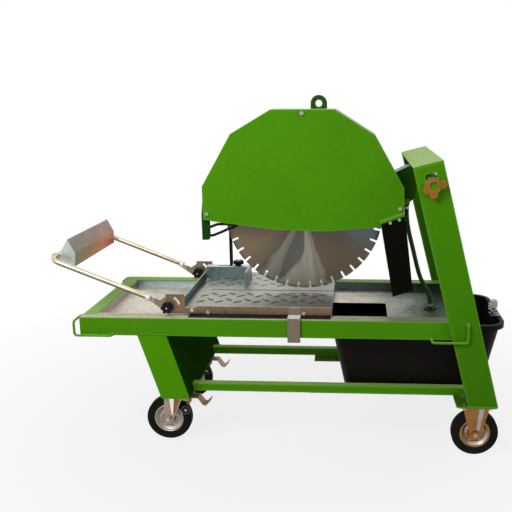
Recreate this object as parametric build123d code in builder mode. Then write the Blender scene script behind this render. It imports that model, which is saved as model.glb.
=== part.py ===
"""Masonry table saw with a tilting blade head, a rolling carriage and a water tub.

Millimetres, +X towards the portal end, +Y away from the working side, +Z up.
The origin is on the floor, in the middle of the saw.
"""
import os
from math import acos, cos, hypot, radians, sin, tan

from build123d import *

os.makedirs("parts", exist_ok=True)

# Table
table_left = -837.0
table_front = -322.0
table_length = 1640.0
table_width = 660.0
table_height = 600.0
rail_height = 80.0
rail_width = 40.0
rail_wall = 3.0
rail_round = 4.0
end_rail_width = 60.0
end_bar_wall = 8.0
end_bar_height = 38.0
track_width = 22.0
track_drop = 25.0
track_wall = 4.0

# Water tray
tray_drop = 40.0
tray_wall = 2.0
tray_round = 8.0
drain_lead = 117.0
drain_length = 257.0
drain_front = 165.0
drain_width = 210.0
drain_round = 12.0

# Leg on the handle end
leg_inset = 244.0
leg_width = 124.0
leg_shift = 88.0
leg_wall = 4.0

# Portal and tilt pivot
pivot_inset = 180.4
pivot_rise = 570.0
portal_lean = 14.55
portal_rise = 84.4
portal_width = 120.0
portal_wall = 5.0
portal_flange = 35.0
cap_wall = 6.0
window_width = 46.0
window_height = 25.0
window_up = 33.0
window_round = 8.0
rod_radius = 15.0
rod_front = 24.0
rod_nut = 18.0
rod_nut_radius = 27.0
washer_radius = 32.0
washer_wall = 4.0
wing_radius = 30.0
wing_depth = 30.0
wing_lobe = 17.0
wing_right = 36.0
wing_left = 27.0
wing_low = 33.0
wing_turn = 12.0
running_gap = 0.05
turning_gap = 0.4

# Lower rails and tub shelves
lower_size = 35.0
lower_wall = 3.0
lower_inset = 90.0
lower_end_gap = 2.0
shelf_lead = 91.0
shelf_end_gap = 20.0
shelf_width = 40.0
shelf_wall = 4.0
shelf_drop = 17.0
shelf_top_gap = 6.0

# Casters
wheel_radius = 100.0
rim_radius = 66.0
rim_wall = 8.0
disc_wall = 12.0
tyre_width = 46.0
tyre_round = 9.0
hub_radius = 24.0
hub_extra = 4.0
axle_radius = 10.0
axle_nut = 17.0
axle_nut_height = 8.0
caster_clear = 35.0
plate_wall = 6.0
plate_round = 8.0
bolt_long = 105.0
bolt_edge = 15.0
swivel_inset = 109.0
swivel_trail = 60.0
fixed_shift = 21.7
fixed_inset = 25.0
foot_trim = 7.5
foot_length = 174.0
foot_shift = 2.0
foot_out = 40.0
foot_round = 16.0
cheek_wall = 5.0
cheek_gap = 1.0
head_radius = 45.0
head_wall = 15.0
king_radius = 10.0
king_drop = 37.0
bridge_wall = 6.0
pedal_swing_x = 40.0
pedal_swing_drop = 38.0
pedal_pin = 4.0
pedal_wall = 4.0
bolt_radius = 5.0
bolt_head = 9.8
bolt_head_height = 6.4
bolt_nut_height = 8.0
bolt_gap = 0.5

# Lashing bars
loop_bar = 10.0
loop_reach = 22.0
loop_drop = 74.0
loop_top_drop = 12.0
loop_bend = 12.0
loop_length = 140.0
loop_end = 16.0
loop_in = 62.0
side_loop_inset = 161.0
side_loop_length = 144.0
side_loop_gap = 13.0
side_loop_rise = 1.0

# Blade and motor
arm_length = 529.6
arm_drop = 163.0
blade_inset = 295.0
blade_radius = 350.0
blade_wall = 3.6
segment_count = 40
segment_height = 11.0
segment_wall = 4.6
gullet_depth = 22.0
gullet_width = 9.0
bore_radius = 30.0
flange_radius = 80.0
flange_wall = 12.0
nut_radius = 46.0
nut_length = 20.0
motor_radius = 100.0
fin_height = 8.0
fin_wall = 3.0
fin_count = 28
motor_flange = 125.0
motor_flange_wall = 15.0
motor_length = 235.0
bell_wall = 18.0
cowl_length = 70.0
cowl_wall = 3.0
rotor_radius = 60.0
rotor_gap = 2.0
shaft_radius = 24.0
tail_radius = 18.0
fan_radius = 84.0

# Guard
guard_front = 95.0
guard_back = 70.0
guard_wall = 3.0
guard_seam = 0.1
guard_left_gap = 81.0
guard_right_gap = 85.0
guard_top_gap = 94.0
guard_flat_left = 300.0
guard_flat_right = 296.0
guard_slope_left = 129.0
guard_slope_right = 125.0
guard_drop_left = 101.0
guard_drop_right = 106.0
guard_side_left = 120.0
guard_side_right = 118.0
guard_low_left = 23.0
guard_low_right = 9.0
guard_foot_left = 67.0
guard_foot_right = 101.0
guard_foot_low_left = 35.0
guard_foot_low_right = 51.0
guard_belly_left = 108.0
guard_belly_right = 105.0
guard_belly_low_left = 66.0
guard_belly_low_right = 71.0
guard_screw = 4.0
shaft_hole = 52.0
seat_run = 102.0
seat_rise = 36.0
seat_drop = 30.0
seat_lean = 10.0
seat_up = 13.0
flap_reach = 30.0
flap_length = 325.0
flap_lean = 41.0
flap_width = 86.0
flap_slope = 28.0
flap_wall = 6.0
rivet_start = 38.0
rivet_pitch = 38.0
rivet_radius = 3.2
strip_wall = 8.0
strip_width = 40.0
strip_length = 254.0
strip_lead = 339.0
pipe_bore = 6.0
bracket_wall = 4.0
bracket_width = 37.0

# Arm and lifting eye
arm_plate = 12.0
arm_depth = 100.0
arm_wall = 8.0
arm_plate_spare = 18.0
arm_plate_low = 57.0
arm_plate_high = 105.0
beam_far = 223.0
beam_mid = 123.0
beam_near = 71.0
beam_far_drop = 40.0
beam_mid_rise = 5.0
beam_near_rise = 30.0
beam_end = 17.0
beam_end_rise = 42.0
beam_foot = 35.0
beam_foot_drop = 108.0
beam_bend = 88.0
beam_bend_drop = 160.0
beam_low_drop = 210.0
hollow_inset = 12.0
hollow_low = 307.0
hollow_end = 63.0
hollow_drop = 470.0
hub_outer = 38.0
hub_boss = 52.0
hub_gap = 1.0
eye_lead = 64.0
eye_rise = 467.0
eye_hole = 15.0
eye_radius = 36.0

# Carriage
deck_reach = 474.0
deck_length = 608.0
deck_rise = 42.0
deck_wall = 4.0
deck_margin = 4.0
deck_gap = 6.0
kerf_width = 14.0
kerf_inset = 51.0
roller_radius = 15.0
roller_width = 12.0
roller_left_inset = 84.0
roller_right_inset = 118.0
roller_gap = 0.3
pin_radius = 5.0
fence_offset = 23.0
fence_rise = 33.0
fence_drop = 20.0
fence_wall = 4.0
fence_front = 40.0
fence_length = 460.0
clip_gap = 12.0
clip_width = 53.0
clip_wall = 4.0
clip_out = 6.0
clip_hook = 18.0
clip_under = 13.0

# Handle
fold_lead = 86.0
fold_drop = 5.0
slot_radius = 50.0
slot_from = 70.0
slot_width = 11.0
slot_spare = 1.0
slot_pin_radius = 5.0
fold_angle = 50.0
side_plate = 6.0
side_overlap = 5.0
side_lap = 36.0
side_head = 58.0
side_neck = 26.0
side_back = 8.0
side_shoulder = 18.0
side_waist = 16.0
side_foot = 6.0
side_inset = 6.0
side_lift = 3.0
lug_wall = 6.0
lug_gap = 1.0
lug_boss = 22.0
tube_radius = 11.0
tube_lead = 73.0
tube_rise = 38.0
tube_lap = 30.0
grip_lead = 415.0
grip_rise = 163.0
grip_bend = 45.0
hood_wall = 2.0
hood_gap = 5.0
hood_end = 3.0
hood_near = 12.0
hood_step = 27.0
hood_crest = 57.0
hood_far = 86.0
hood_rise = 76.0
hood_shoulder = 25.0
hood_drop = 41.0
knob_radius = 25.0
knob_lobe = 8.0
knob_wall = 17.0
knob_neck = 6.0
stud_radius = 6.0

# Sliding angle stop
stop_overhang = 16.0
stop_length = 221.0
stop_wall = 5.0
stop_rise = 58.0
stop_end_rise = 78.0
stop_depth = 198.0
stop_kerf_gap = 15.0
stop_stud_inset = 137.0
stop_stud_rise = 26.0
stop_travel = 90.0
stop_lip = 44.0

# Tub and pump
tub_reach = 33.0
tub_length = 742.0
tub_rim_gap = 5.0
tub_side = 102.0
tub_taper_x = 66.0
tub_taper_y = 45.0
tub_wall = 4.0
tub_lip = 14.0
tub_lip_wall = 22.0
tub_round = 68.0
pump_inset = 293.0
pump_radius = 55.0
pump_height = 120.0
pump_lift = 25.6
pipe_radius = 11.0
pipe_gap = 1.0
pump_collar = 28.0
pump_collar_wall = 5.0
nipple_radius = 8.0
nipple_rise = 32.0
nipple_drop = 26.0
hose_radius = 10.0
elbow_reach = 19.0
elbow_rise = 35.0
elbow_size = 24.0
elbow_wall = 22.0

# Switch box
box_width = 130.0
box_depth = 110.0
box_height = 75.0
box_round = 8.0
box_setback = 75.0
pad_rise = 11.0
pad_sink = 21.0
pad_size = 100.0
button_radius = 11.0
button_reach = 7.0
button_seat = 12.0
button_spare = 4.0
inlet_radius = 32.0
inlet_length = 45.0
inlet_wall = 4.0
inlet_base = 8.0
inlet_pin = 3.0
inlet_pin_reach = 26.0

# Places that follow from the sizes
table_right = table_left + table_length
table_rear = table_front + table_width
table_mid = table_front + table_width / 2
rail_bottom = table_height - rail_height
track_bottom = table_height - track_wall
tray_floor = table_height - tray_drop
hub_width = tyre_width + hub_extra
cheek_in = hub_width / 2 + cheek_gap
cheek_out = cheek_in + cheek_wall
bolt_short = 2 * (cheek_out + bolt_head)
plate_long = bolt_long + 2 * bolt_edge
plate_short = bolt_short + 2 * bolt_edge
caster_height = 2 * wheel_radius + caster_clear
foot_top = caster_height + plate_wall
leg_left = table_left + leg_inset
swivel_x = leg_left + leg_shift + leg_width / 2
pivot_x = table_right - pivot_inset
pivot_z = table_height + pivot_rise
lean_sin = sin(radians(portal_lean))
lean_cos = cos(radians(portal_lean))
fixed_x = pivot_x + (pivot_z - foot_top) * lean_sin / lean_cos - fixed_shift
foot_x = fixed_x - foot_shift
lower_right = foot_x + foot_length / 2 - lower_end_gap
shelf_right = lower_right - shelf_end_gap
blade_x = pivot_x - arm_length
blade_y = table_front + blade_inset
blade_z = pivot_z - arm_drop
guard_y = blade_y - guard_front
guard_rear_y = blade_y + guard_back
guard_left = -blade_radius - guard_left_gap
guard_right = blade_radius + guard_right_gap
guard_top = blade_radius + guard_top_gap
drain_left = blade_x + drain_lead
deck_left = blade_x - deck_reach
deck_right = deck_left + deck_length
deck_top = table_height + deck_rise
deck_inset = rail_width + deck_margin
flange_bottom = table_height + deck_gap
kerf_left = deck_left + kerf_inset
roller_left = deck_left + roller_left_inset
roller_right = deck_right - roller_right_inset
roller_z = table_height + roller_radius + roller_gap
clip_left = roller_right - clip_gap - clip_width
fold_x = deck_left - fold_lead
fold_z = deck_top - fold_drop
tube_x = fold_x - tube_lead
tube_z = fold_z + tube_rise
grip_x = tube_x - grip_lead
grip_z = tube_z + grip_rise
stop_left = deck_left - stop_overhang
stop_right = stop_left + stop_length
stop_top = deck_top + stop_rise
stop_end_top = deck_top + stop_end_rise
stop_stud_x = deck_left + stop_stud_inset
stop_y = blade_y + stop_depth
eye_x = blade_x + eye_lead
eye_z = blade_z + eye_rise
tub_right = lower_right + tub_reach
tub_left = tub_right - tub_length
tub_rim = tray_floor - tub_rim_gap
tub_half = table_width / 2 - tub_side
shelf_left = tub_left - shelf_lead
pump_x = tub_right - pump_inset
nipple_top = tray_floor + nipple_rise
elbow_root = blade_x + guard_right
elbow_x = elbow_root + elbow_reach
elbow_end = elbow_x + elbow_size / 2
elbow_z = blade_z + elbow_rise
pad_top = blade_z + motor_radius + pad_rise
made = {}


def across(y):
    """Upright plane seen from the working side, at depth y."""
    return Plane.XZ.offset(-y)


def inward(side, depth):
    """Depth measured in from the front (side 1) or rear (side -1) face of the table."""
    return table_mid - side * (table_width / 2 - depth)


def rear_of(side, depth_a, depth_b):
    """The larger y of two depths, from which a piece is extruded forwards."""
    return max(inward(side, depth_a), inward(side, depth_b))


def turned(points):
    """The same outline, anticlockwise."""
    area = 0.0
    for (x0, z0), (x1, z1) in zip(points, points[1:] + points[:1]):
        area += x0 * z1 - x1 * z0
    return points if area > 0 else points[::-1]


def beside(points, wall):
    """The same bent line, moved to the left of travel by the wall."""
    normals = []
    for (x0, z0), (x1, z1) in zip(points, points[1:]):
        run = hypot(x1 - x0, z1 - z0)
        normals.append(((z0 - z1) / run, (x1 - x0) / run))
    inner = []
    for (x, z), (ax, az), (bx, bz) in zip(points, normals[:1] + normals, normals + normals[-1:]):
        scale = wall / (1 + ax * bx + az * bz)
        inner.append((x + (ax + bx) * scale, z + (az + bz) * scale))
    return inner


def bent_sheet(points, wall):
    """Outline of a sheet bent along the points, its wall to the left of travel."""
    return turned(points + beside(points, wall)[::-1])


def sheet_runs(points, wall, seam):
    """Outlines of the straight plates along the points, a seam apart where they meet."""
    runs = []
    inner = beside(points, wall)
    for (x0, z0), (x1, z1), (u0, w0), (u1, w1) in zip(points, points[1:], inner, inner[1:]):
        run = hypot(x1 - x0, z1 - z0)
        dx = seam / 2 * (x1 - x0) / run
        dz = seam / 2 * (z1 - z0) / run
        runs.append(turned([(x0 + dx, z0 + dz), (x1 - dx, z1 - dz), (u1 - dx, w1 - dz), (u0 + dx, w0 + dz)]))
    return runs


def leaning(down, right):
    """Point on the portal's side, measured from the pivot along the leaning leg."""
    return (pivot_x + down * lean_sin + right * lean_cos,
            pivot_z - down * lean_cos + right * lean_sin)


def portal_foot(right):
    """Point where the leg's line meets the foot plate."""
    return leaning((pivot_z + right * lean_sin - foot_top) / lean_cos, right)


def leg_x(z):
    """Left edge of the handle-end leg at height z."""
    return leg_left + leg_shift * (rail_bottom - z) / (rail_bottom - caster_height)


def from_blade(dx, dz):
    """Point measured from the blade's axis."""
    return (blade_x + dx, blade_z + dz)


def from_pivot(dx, dz):
    """Point measured from the tilt pivot."""
    return (pivot_x + dx, pivot_z + dz)


def from_fold(dx, dz):
    """Point measured from the handle's fold axis."""
    return (fold_x + dx, fold_z + dz)


# Long rails with the carriage tracks along their inner sides
for side, name in ((1, "front_rail"), (-1, "rear_rail")):
    track = []
    for depth, height in ((0, 0), (track_width, 0), (track_width, track_wall), (track_wall, track_wall),
                          (track_wall, track_drop), (0, track_drop)):
        track.append((inward(side, rail_width + depth), table_height - height))
    with BuildPart() as rail:
        with BuildSketch(Plane.YZ.offset(table_left)):
            with Locations((inward(side, rail_width / 2), table_height - rail_height / 2)):
                RectangleRounded(rail_width, rail_height, rail_round)
                Rectangle(rail_width - 2 * rail_wall, rail_height - 2 * rail_wall, mode=Mode.SUBTRACT)
        extrude(amount=table_length)
        with BuildSketch(Plane.YZ.offset(table_left + end_rail_width)):
            Polygon(*turned(track), align=None)
        extrude(amount=table_length - end_rail_width - end_bar_wall)
    made[name] = rail.part

# End rails: a box tube on the handle end and a shallow bar over the tub
with BuildPart() as end_rails:
    with BuildSketch(across(table_rear - rail_width)):
        with Locations((table_left + end_rail_width / 2, table_height - rail_height / 2)):
            RectangleRounded(end_rail_width, rail_height, rail_round)
            Rectangle(end_rail_width - 2 * rail_wall, rail_height - 2 * rail_wall, mode=Mode.SUBTRACT)
        with Locations((table_right - end_bar_wall / 2, table_height - end_bar_height / 2)):
            Rectangle(end_bar_wall, end_bar_height)
    extrude(amount=table_width - 2 * rail_width)
made["end_rails"] = end_rails.part

# Water tray hung under the tracks, with its drain window over the tub
tray_left = table_left + end_rail_width
tray_right = table_right - end_bar_wall
tray_depth = table_width - 2 * (rail_width + track_wall)
tray_x = (tray_left + tray_right) / 2
with BuildPart() as water_tray:
    with BuildSketch(Plane.XY.offset(tray_floor)):
        with Locations((tray_x, table_mid)):
            Rectangle(tray_right - tray_left, tray_depth)
    extrude(amount=track_bottom - tray_floor)
    with BuildSketch(Plane.XY.offset(tray_floor + tray_wall)):
        with Locations((tray_x, table_mid)):
            RectangleRounded(tray_right - tray_left - 2 * tray_wall, tray_depth - 2 * tray_wall, tray_round)
    extrude(amount=track_bottom - tray_floor, mode=Mode.SUBTRACT)
    with BuildSketch(Plane.XY.offset(tray_floor)):
        with Locations((drain_left + drain_length / 2, table_front + drain_front + drain_width / 2)):
            RectangleRounded(drain_length, drain_width, drain_round)
        with Locations((pump_x, blade_y)):
            Circle(pipe_radius + pipe_gap)
    extrude(amount=tray_wall, mode=Mode.SUBTRACT)
made["water_tray"] = water_tray.part

# Bolt places of the casters
swivel_bolts = []
fixed_bolts = []
for side in (1, -1):
    for a in (-0.5, 0.5):
        for b in (-0.5, 0.5):
            swivel_bolts.append((swivel_x + a * bolt_short, inward(side, swivel_inset) + b * bolt_long))
            fixed_bolts.append((fixed_x + a * bolt_long, inward(side, fixed_inset) + b * bolt_short))

# Folded sheet leg on the handle end: cheeks, full-depth panel and the foot plates inside
panel_run = leg_wall * hypot(leg_shift, rail_bottom - caster_height) / (rail_bottom - caster_height)
leg_right_top = leg_left + leg_width
leg_right_foot = leg_right_top + leg_shift
leg_outline = [(leg_left, rail_bottom), (leg_left + leg_shift, caster_height),
               (leg_right_foot, caster_height), (leg_right_top, rail_bottom)]
panel_outline = [(leg_right_top - panel_run, rail_bottom), (leg_right_foot - panel_run, caster_height),
                 (leg_right_foot, caster_height), (leg_right_top, rail_bottom)]
left_foot = [(leg_x(caster_height), caster_height), (leg_right_foot - panel_run, caster_height),
             (leg_x(foot_top) + leg_width - panel_run, foot_top), (leg_x(foot_top), foot_top)]
left_foot_depth = swivel_inset + plate_long / 2 - foot_trim
with BuildPart() as left_leg:
    with BuildSketch(across(table_rear)):
        Polygon(*turned(panel_outline), align=None)
    extrude(amount=table_width)
    for side in (1, -1):
        with BuildSketch(across(rear_of(side, 0, leg_wall))):
            Polygon(*turned(leg_outline), align=None)
        extrude(amount=leg_wall)
        with BuildSketch(across(rear_of(side, 0, left_foot_depth))):
            Polygon(*turned(left_foot), align=None)
        extrude(amount=left_foot_depth)
    with BuildSketch(Plane.XY.offset(caster_height)):
        with Locations(*swivel_bolts):
            Circle(bolt_radius + bolt_gap)
    extrude(amount=plate_wall, mode=Mode.SUBTRACT)
made["left_leg"] = left_leg.part

# Portal: two leaning channel legs on their foot plates, and the cap plate between them
leg_top = cap_wall - portal_rise
half_width = portal_width / 2
web = [leaning(leg_top, -half_width), portal_foot(-half_width),
       portal_foot(half_width), leaning(leg_top, half_width)]
left_flange = [leaning(leg_top, -half_width), portal_foot(-half_width),
               portal_foot(portal_wall - half_width), leaning(leg_top, portal_wall - half_width)]
right_flange = [leaning(leg_top, half_width - portal_wall), portal_foot(half_width - portal_wall),
                portal_foot(half_width), leaning(leg_top, half_width)]
with BuildPart() as portal_legs:
    for side in (1, -1):
        with BuildSketch(across(rear_of(side, -portal_flange, portal_wall - portal_flange))):
            Polygon(*turned(web), align=None)
            with Locations((pivot_x, pivot_z)):
                Circle(rod_radius + running_gap, mode=Mode.SUBTRACT)
            with Locations(Location(leaning(-window_up, 0), portal_lean)):
                RectangleRounded(window_width, window_height, window_round, mode=Mode.SUBTRACT)
        extrude(amount=portal_wall)
        with BuildSketch(across(rear_of(side, -portal_flange, 0))):
            Polygon(*turned(left_flange), align=None)
            Polygon(*turned(right_flange), align=None)
        extrude(amount=portal_flange)
        with BuildSketch(Plane.XY.offset(caster_height)):
            with Locations((foot_x, inward(side, (lower_inset - foot_out) / 2))):
                RectangleRounded(foot_length, lower_inset + foot_out, foot_round)
        extrude(amount=plate_wall)
    with BuildSketch(Plane.XY.offset(caster_height)):
        with Locations(*fixed_bolts):
            Circle(bolt_radius + bolt_gap)
    extrude(amount=plate_wall, mode=Mode.SUBTRACT)
made["portal_legs"] = portal_legs.part

cap = [leaning(-portal_rise, -half_width), leaning(leg_top, -half_width),
       leaning(leg_top, half_width), leaning(-portal_rise, half_width)]
with BuildPart() as portal_cap:
    with BuildSketch(across(table_rear + portal_flange)):
        Polygon(*turned(cap), align=None)
    extrude(amount=table_width + 2 * portal_flange)
made["portal_cap"] = portal_cap.part

# Lower rails with the angle shelves that the tub slides on
lower_top = caster_height + lower_size
lower_outline = [(leg_x(caster_height) + leg_width, caster_height), (lower_right, caster_height),
                 (lower_right, lower_top), (leg_x(lower_top) + leg_width, lower_top)]
shelf_top = caster_height - shelf_drop + shelf_wall
with BuildPart() as lower_rails:
    for side in (1, -1):
        with BuildSketch(across(rear_of(side, lower_inset, lower_inset + lower_size))):
            Polygon(*turned(lower_outline), align=None)
        extrude(amount=lower_size)
        with BuildSketch(Plane.YZ.offset(leg_left)):
            with Locations((inward(side, lower_inset + lower_size / 2), caster_height + lower_size / 2)):
                Rectangle(lower_size - 2 * lower_wall, lower_size - 2 * lower_wall)
        extrude(amount=lower_right - leg_left, mode=Mode.SUBTRACT)
        shelf = []
        for depth, height in ((0, lower_top - shelf_top_gap), (shelf_wall, lower_top - shelf_top_gap),
                              (shelf_wall, shelf_top), (shelf_width, shelf_top),
                              (shelf_width, shelf_top - shelf_wall), (0, shelf_top - shelf_wall)):
            shelf.append((inward(side, lower_inset + lower_size + depth), height))
        with BuildSketch(Plane.YZ.offset(shelf_left)):
            Polygon(*turned(shelf), align=None)
        extrude(amount=shelf_right - shelf_left)
made["lower_rails"] = lower_rails.part

# Lashing bars at the four corners
loop_low = table_height - loop_drop
loop_high = table_height - loop_top_drop
corner_x = table_left + loop_length
end_x = table_left - loop_end
side_x = table_right - side_loop_inset
tip_x = side_x + side_loop_length
tip_z = table_height + side_loop_rise
with BuildPart() as lashing_loops:
    for side in (1, -1):
        face = inward(side, 0)
        out = inward(side, -loop_reach)
        behind = inward(side, loop_in)
        with BuildLine() as corner_bar:
            FilletPolyline((corner_x, face, loop_low), (corner_x, out, loop_low),
                           (end_x, out, loop_low), (end_x, out, loop_high), (end_x, behind, loop_high),
                           (table_left, behind, loop_high), radius=loop_bend)
        with BuildSketch(Plane(corner_bar.line @ 0, z_dir=corner_bar.line % 0)):
            Circle(loop_bar / 2)
        sweep(path=corner_bar.line)
        leg_face = inward(side, -portal_flange)
        before = inward(side, -portal_flange - side_loop_gap)
        with BuildLine() as side_bar:
            FilletPolyline((side_x, face, loop_low), (side_x, before, loop_low), (tip_x, before, loop_low),
                           (tip_x, before, tip_z), (tip_x, leg_face, tip_z), radius=loop_bend)
        with BuildSketch(Plane(side_bar.line @ 0, z_dir=side_bar.line % 0)):
            Circle(loop_bar / 2)
        sweep(path=side_bar.line)
made["lashing_loops"] = lashing_loops.part

# Top plates of the swivelling casters, each with its king pin
king_low = caster_height - king_drop
plate_low = caster_height - plate_wall
head_top = plate_low - cheek_gap
fork_top = head_top - head_wall
with BuildPart() as caster_plates:
    for side in (1, -1):
        y = inward(side, swivel_inset)
        with BuildSketch(Plane.XY.offset(plate_low)):
            with Locations((swivel_x, y)):
                RectangleRounded(plate_short, plate_long, plate_round)
        extrude(amount=plate_wall)
        with BuildSketch(Plane.XY.offset(king_low)):
            with Locations((swivel_x, y)):
                Circle(king_radius)
        extrude(amount=plate_low - king_low)
        with BuildSketch(Plane.XY.offset(king_low)):
            with Locations((swivel_x, y)):
                RegularPolygon(axle_nut, 6)
        extrude(amount=axle_nut_height)
    with BuildSketch(Plane.XY.offset(plate_low)):
        with Locations(*swivel_bolts):
            Circle(bolt_radius + bolt_gap)
    extrude(amount=plate_wall, mode=Mode.SUBTRACT)
made["caster_plates"] = caster_plates.part

# Fixed casters under the portal: plate, two cheeks and the wheel axle
fixed_cheek = [(fixed_x - 58, plate_low), (fixed_x - 22, wheel_radius - 8), (fixed_x + 22, wheel_radius - 8),
               (fixed_x + 58, plate_low)]
with BuildPart() as fixed_casters:
    for side in (1, -1):
        y = inward(side, fixed_inset)
        with BuildSketch(Plane.XY.offset(plate_low)):
            with Locations((fixed_x, y)):
                RectangleRounded(plate_long, plate_short, plate_round)
        extrude(amount=plate_wall)
        for cheek_rear in (y - cheek_in, y + cheek_out):
            with BuildSketch(across(cheek_rear)):
                Polygon(*turned(fixed_cheek), align=None)
                with Locations((fixed_x, wheel_radius)):
                    Circle(hub_radius)
            extrude(amount=cheek_wall)
        with BuildSketch(across(y + cheek_out)):
            with Locations((fixed_x, wheel_radius)):
                Circle(axle_radius)
        extrude(amount=2 * cheek_out)
        for end_rear in (y - cheek_out, y + cheek_out + axle_nut_height):
            with BuildSketch(across(end_rear)):
                with Locations((fixed_x, wheel_radius)):
                    RegularPolygon(axle_nut, 6)
            extrude(amount=axle_nut_height)
    with BuildSketch(Plane.XY.offset(plate_low)):
        with Locations(*fixed_bolts):
            Circle(bolt_radius + bolt_gap)
    extrude(amount=plate_wall, mode=Mode.SUBTRACT)
made["fixed_casters"] = fixed_casters.part

# Swivelling forks with axle, and their brake pedals
trail_x = swivel_x - swivel_trail
pedal_x = swivel_x + pedal_swing_x
pedal_z = caster_height - pedal_swing_drop
fork_cheek = [(trail_x - 14, fork_top), (trail_x - 22, wheel_radius + 8), (trail_x, wheel_radius - 20),
              (trail_x + 18, wheel_radius - 14), (trail_x + 62, fork_top - 20), (pedal_x - 10, pedal_z - 11),
              (pedal_x + 8, pedal_z - 11), (pedal_x + 8, fork_top)]
lever = [(pedal_x, pedal_z + 2), (pedal_x + 34, pedal_z + 2), (pedal_x + 57, pedal_z - 30),
         (pedal_x + 70, pedal_z - 32), (pedal_x + 91, pedal_z - 10)]
shoe = [(pedal_x - 5, pedal_z), (pedal_x + 5, pedal_z), (pedal_x - 6, pedal_z - 30),
        (pedal_x - 16, pedal_z - 28)]
for side, name in ((1, "front"), (-1, "rear")):
    y = inward(side, swivel_inset)
    with BuildPart() as fork:
        with BuildSketch(Plane.XY.offset(fork_top)):
            with Locations((swivel_x, y)):
                Circle(head_radius)
        extrude(amount=head_top - fork_top)
        with BuildSketch(Plane.XY.offset(fork_top - bridge_wall)):
            with Locations(((trail_x + 8 + pedal_x + 8) / 2, y)):
                Rectangle(pedal_x - trail_x, 2 * cheek_out)
        extrude(amount=bridge_wall)
        with BuildSketch(Plane.XY.offset(fork_top - bridge_wall)):
            with Locations((swivel_x, y)):
                Circle(king_radius + running_gap)
        extrude(amount=head_top - fork_top + bridge_wall, mode=Mode.SUBTRACT)
        for cheek_rear in (y - cheek_in, y + cheek_out):
            with BuildSketch(across(cheek_rear)):
                Polygon(*turned(fork_cheek), align=None)
                with Locations((trail_x, wheel_radius)):
                    Circle(hub_radius)
                with Locations((pedal_x, pedal_z)):
                    Circle(pedal_pin + running_gap, mode=Mode.SUBTRACT)
            extrude(amount=cheek_wall)
        with BuildSketch(across(y + cheek_out)):
            with Locations((trail_x, wheel_radius)):
                Circle(axle_radius)
        extrude(amount=2 * cheek_out)
        for end_rear in (y - cheek_out, y + cheek_out + axle_nut_height):
            with BuildSketch(across(end_rear)):
                with Locations((trail_x, wheel_radius)):
                    RegularPolygon(axle_nut, 6)
            extrude(amount=axle_nut_height)
    made["swivel_fork_" + name] = fork.part
    with BuildPart() as pedal:
        with BuildSketch(across(y + cheek_in - 0.5)):
            with Locations((pedal_x, pedal_z)):
                Circle(2 * pedal_pin)
            Polygon(*turned(shoe), align=None)
        extrude(amount=2 * cheek_in - 1)
        with BuildSketch(across(y + cheek_out + 2)):
            with Locations((pedal_x, pedal_z)):
                Circle(pedal_pin)
        extrude(amount=2 * cheek_out + 4)
        with BuildSketch(across(y + cheek_in - 1)):
            Polygon(*bent_sheet(lever, pedal_wall), align=None)
        extrude(amount=2 * cheek_in - 2)
    made["brake_pedal_" + name] = pedal.part

# Wheels: a spoked rim with hub, and a solid tyre
wheel_seats = {
    "left_front": (trail_x, inward(1, swivel_inset)),
    "left_rear": (trail_x, inward(-1, swivel_inset)),
    "right_front": (fixed_x, inward(1, fixed_inset)),
    "right_rear": (fixed_x, inward(-1, fixed_inset)),
}
for name, (x, y) in wheel_seats.items():
    with BuildPart() as rim:
        for radius, inner, width in ((hub_radius, 0, hub_width), (rim_radius - 2, hub_radius - 2, disc_wall),
                                     (rim_radius, rim_radius - rim_wall, tyre_width - 6)):
            with BuildSketch(across(y + width / 2)):
                with Locations((x, wheel_radius)):
                    Circle(radius)
                    if inner:
                        Circle(inner, mode=Mode.SUBTRACT)
            extrude(amount=width)
        with BuildSketch(across(y + hub_width / 2)):
            with Locations((x, wheel_radius)):
                Circle(axle_radius + running_gap)
        extrude(amount=hub_width, mode=Mode.SUBTRACT)
    made["rim_" + name] = rim.part
    with BuildPart() as tyre:
        with BuildSketch(across(y + tyre_width / 2)):
            with Locations((x, wheel_radius)):
                Circle(wheel_radius)
                Circle(rim_radius, mode=Mode.SUBTRACT)
        extrude(amount=tyre_width)
        fillet(tyre.edges().filter_by(GeomType.CIRCLE).sort_by(SortBy.RADIUS)[-2:], tyre_round)
    made["tyre_" + name] = tyre.part

# Bolts through the foot plates, and the washer under the wing nut
with BuildPart() as frame_bolts:
    with BuildSketch(Plane.XY.offset(plate_low - bolt_nut_height - 2)):
        with Locations(*swivel_bolts, *fixed_bolts):
            Circle(bolt_radius)
    extrude(amount=foot_top - plate_low + bolt_nut_height + 2)
    with BuildSketch(Plane.XY.offset(foot_top)):
        with Locations(*swivel_bolts, *fixed_bolts):
            RegularPolygon(bolt_head, 6)
    extrude(amount=bolt_head_height)
    with BuildSketch(Plane.XY.offset(plate_low - bolt_nut_height)):
        with Locations(*swivel_bolts, *fixed_bolts):
            RegularPolygon(bolt_head, 6)
    extrude(amount=bolt_nut_height)
    with BuildSketch(across(table_front - portal_flange)):
        with Locations((pivot_x, pivot_z)):
            Circle(washer_radius)
            Circle(rod_radius + running_gap, mode=Mode.SUBTRACT)
    extrude(amount=washer_wall)
made["frame_bolts"] = frame_bolts.part

# Tilt pivot rod with its nut behind the rear leg
rod_end = table_front - portal_flange - washer_wall - rod_front
with BuildPart() as pivot_rod:
    with BuildSketch(across(table_rear + portal_flange)):
        with Locations((pivot_x, pivot_z)):
            Circle(rod_radius)
    extrude(amount=table_rear + portal_flange - rod_end)
    with BuildSketch(across(table_rear + portal_flange + rod_nut)):
        with Locations((pivot_x, pivot_z)):
            RegularPolygon(rod_nut_radius, 6)
    extrude(amount=rod_nut)
made["pivot_rod"] = pivot_rod.part

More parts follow.
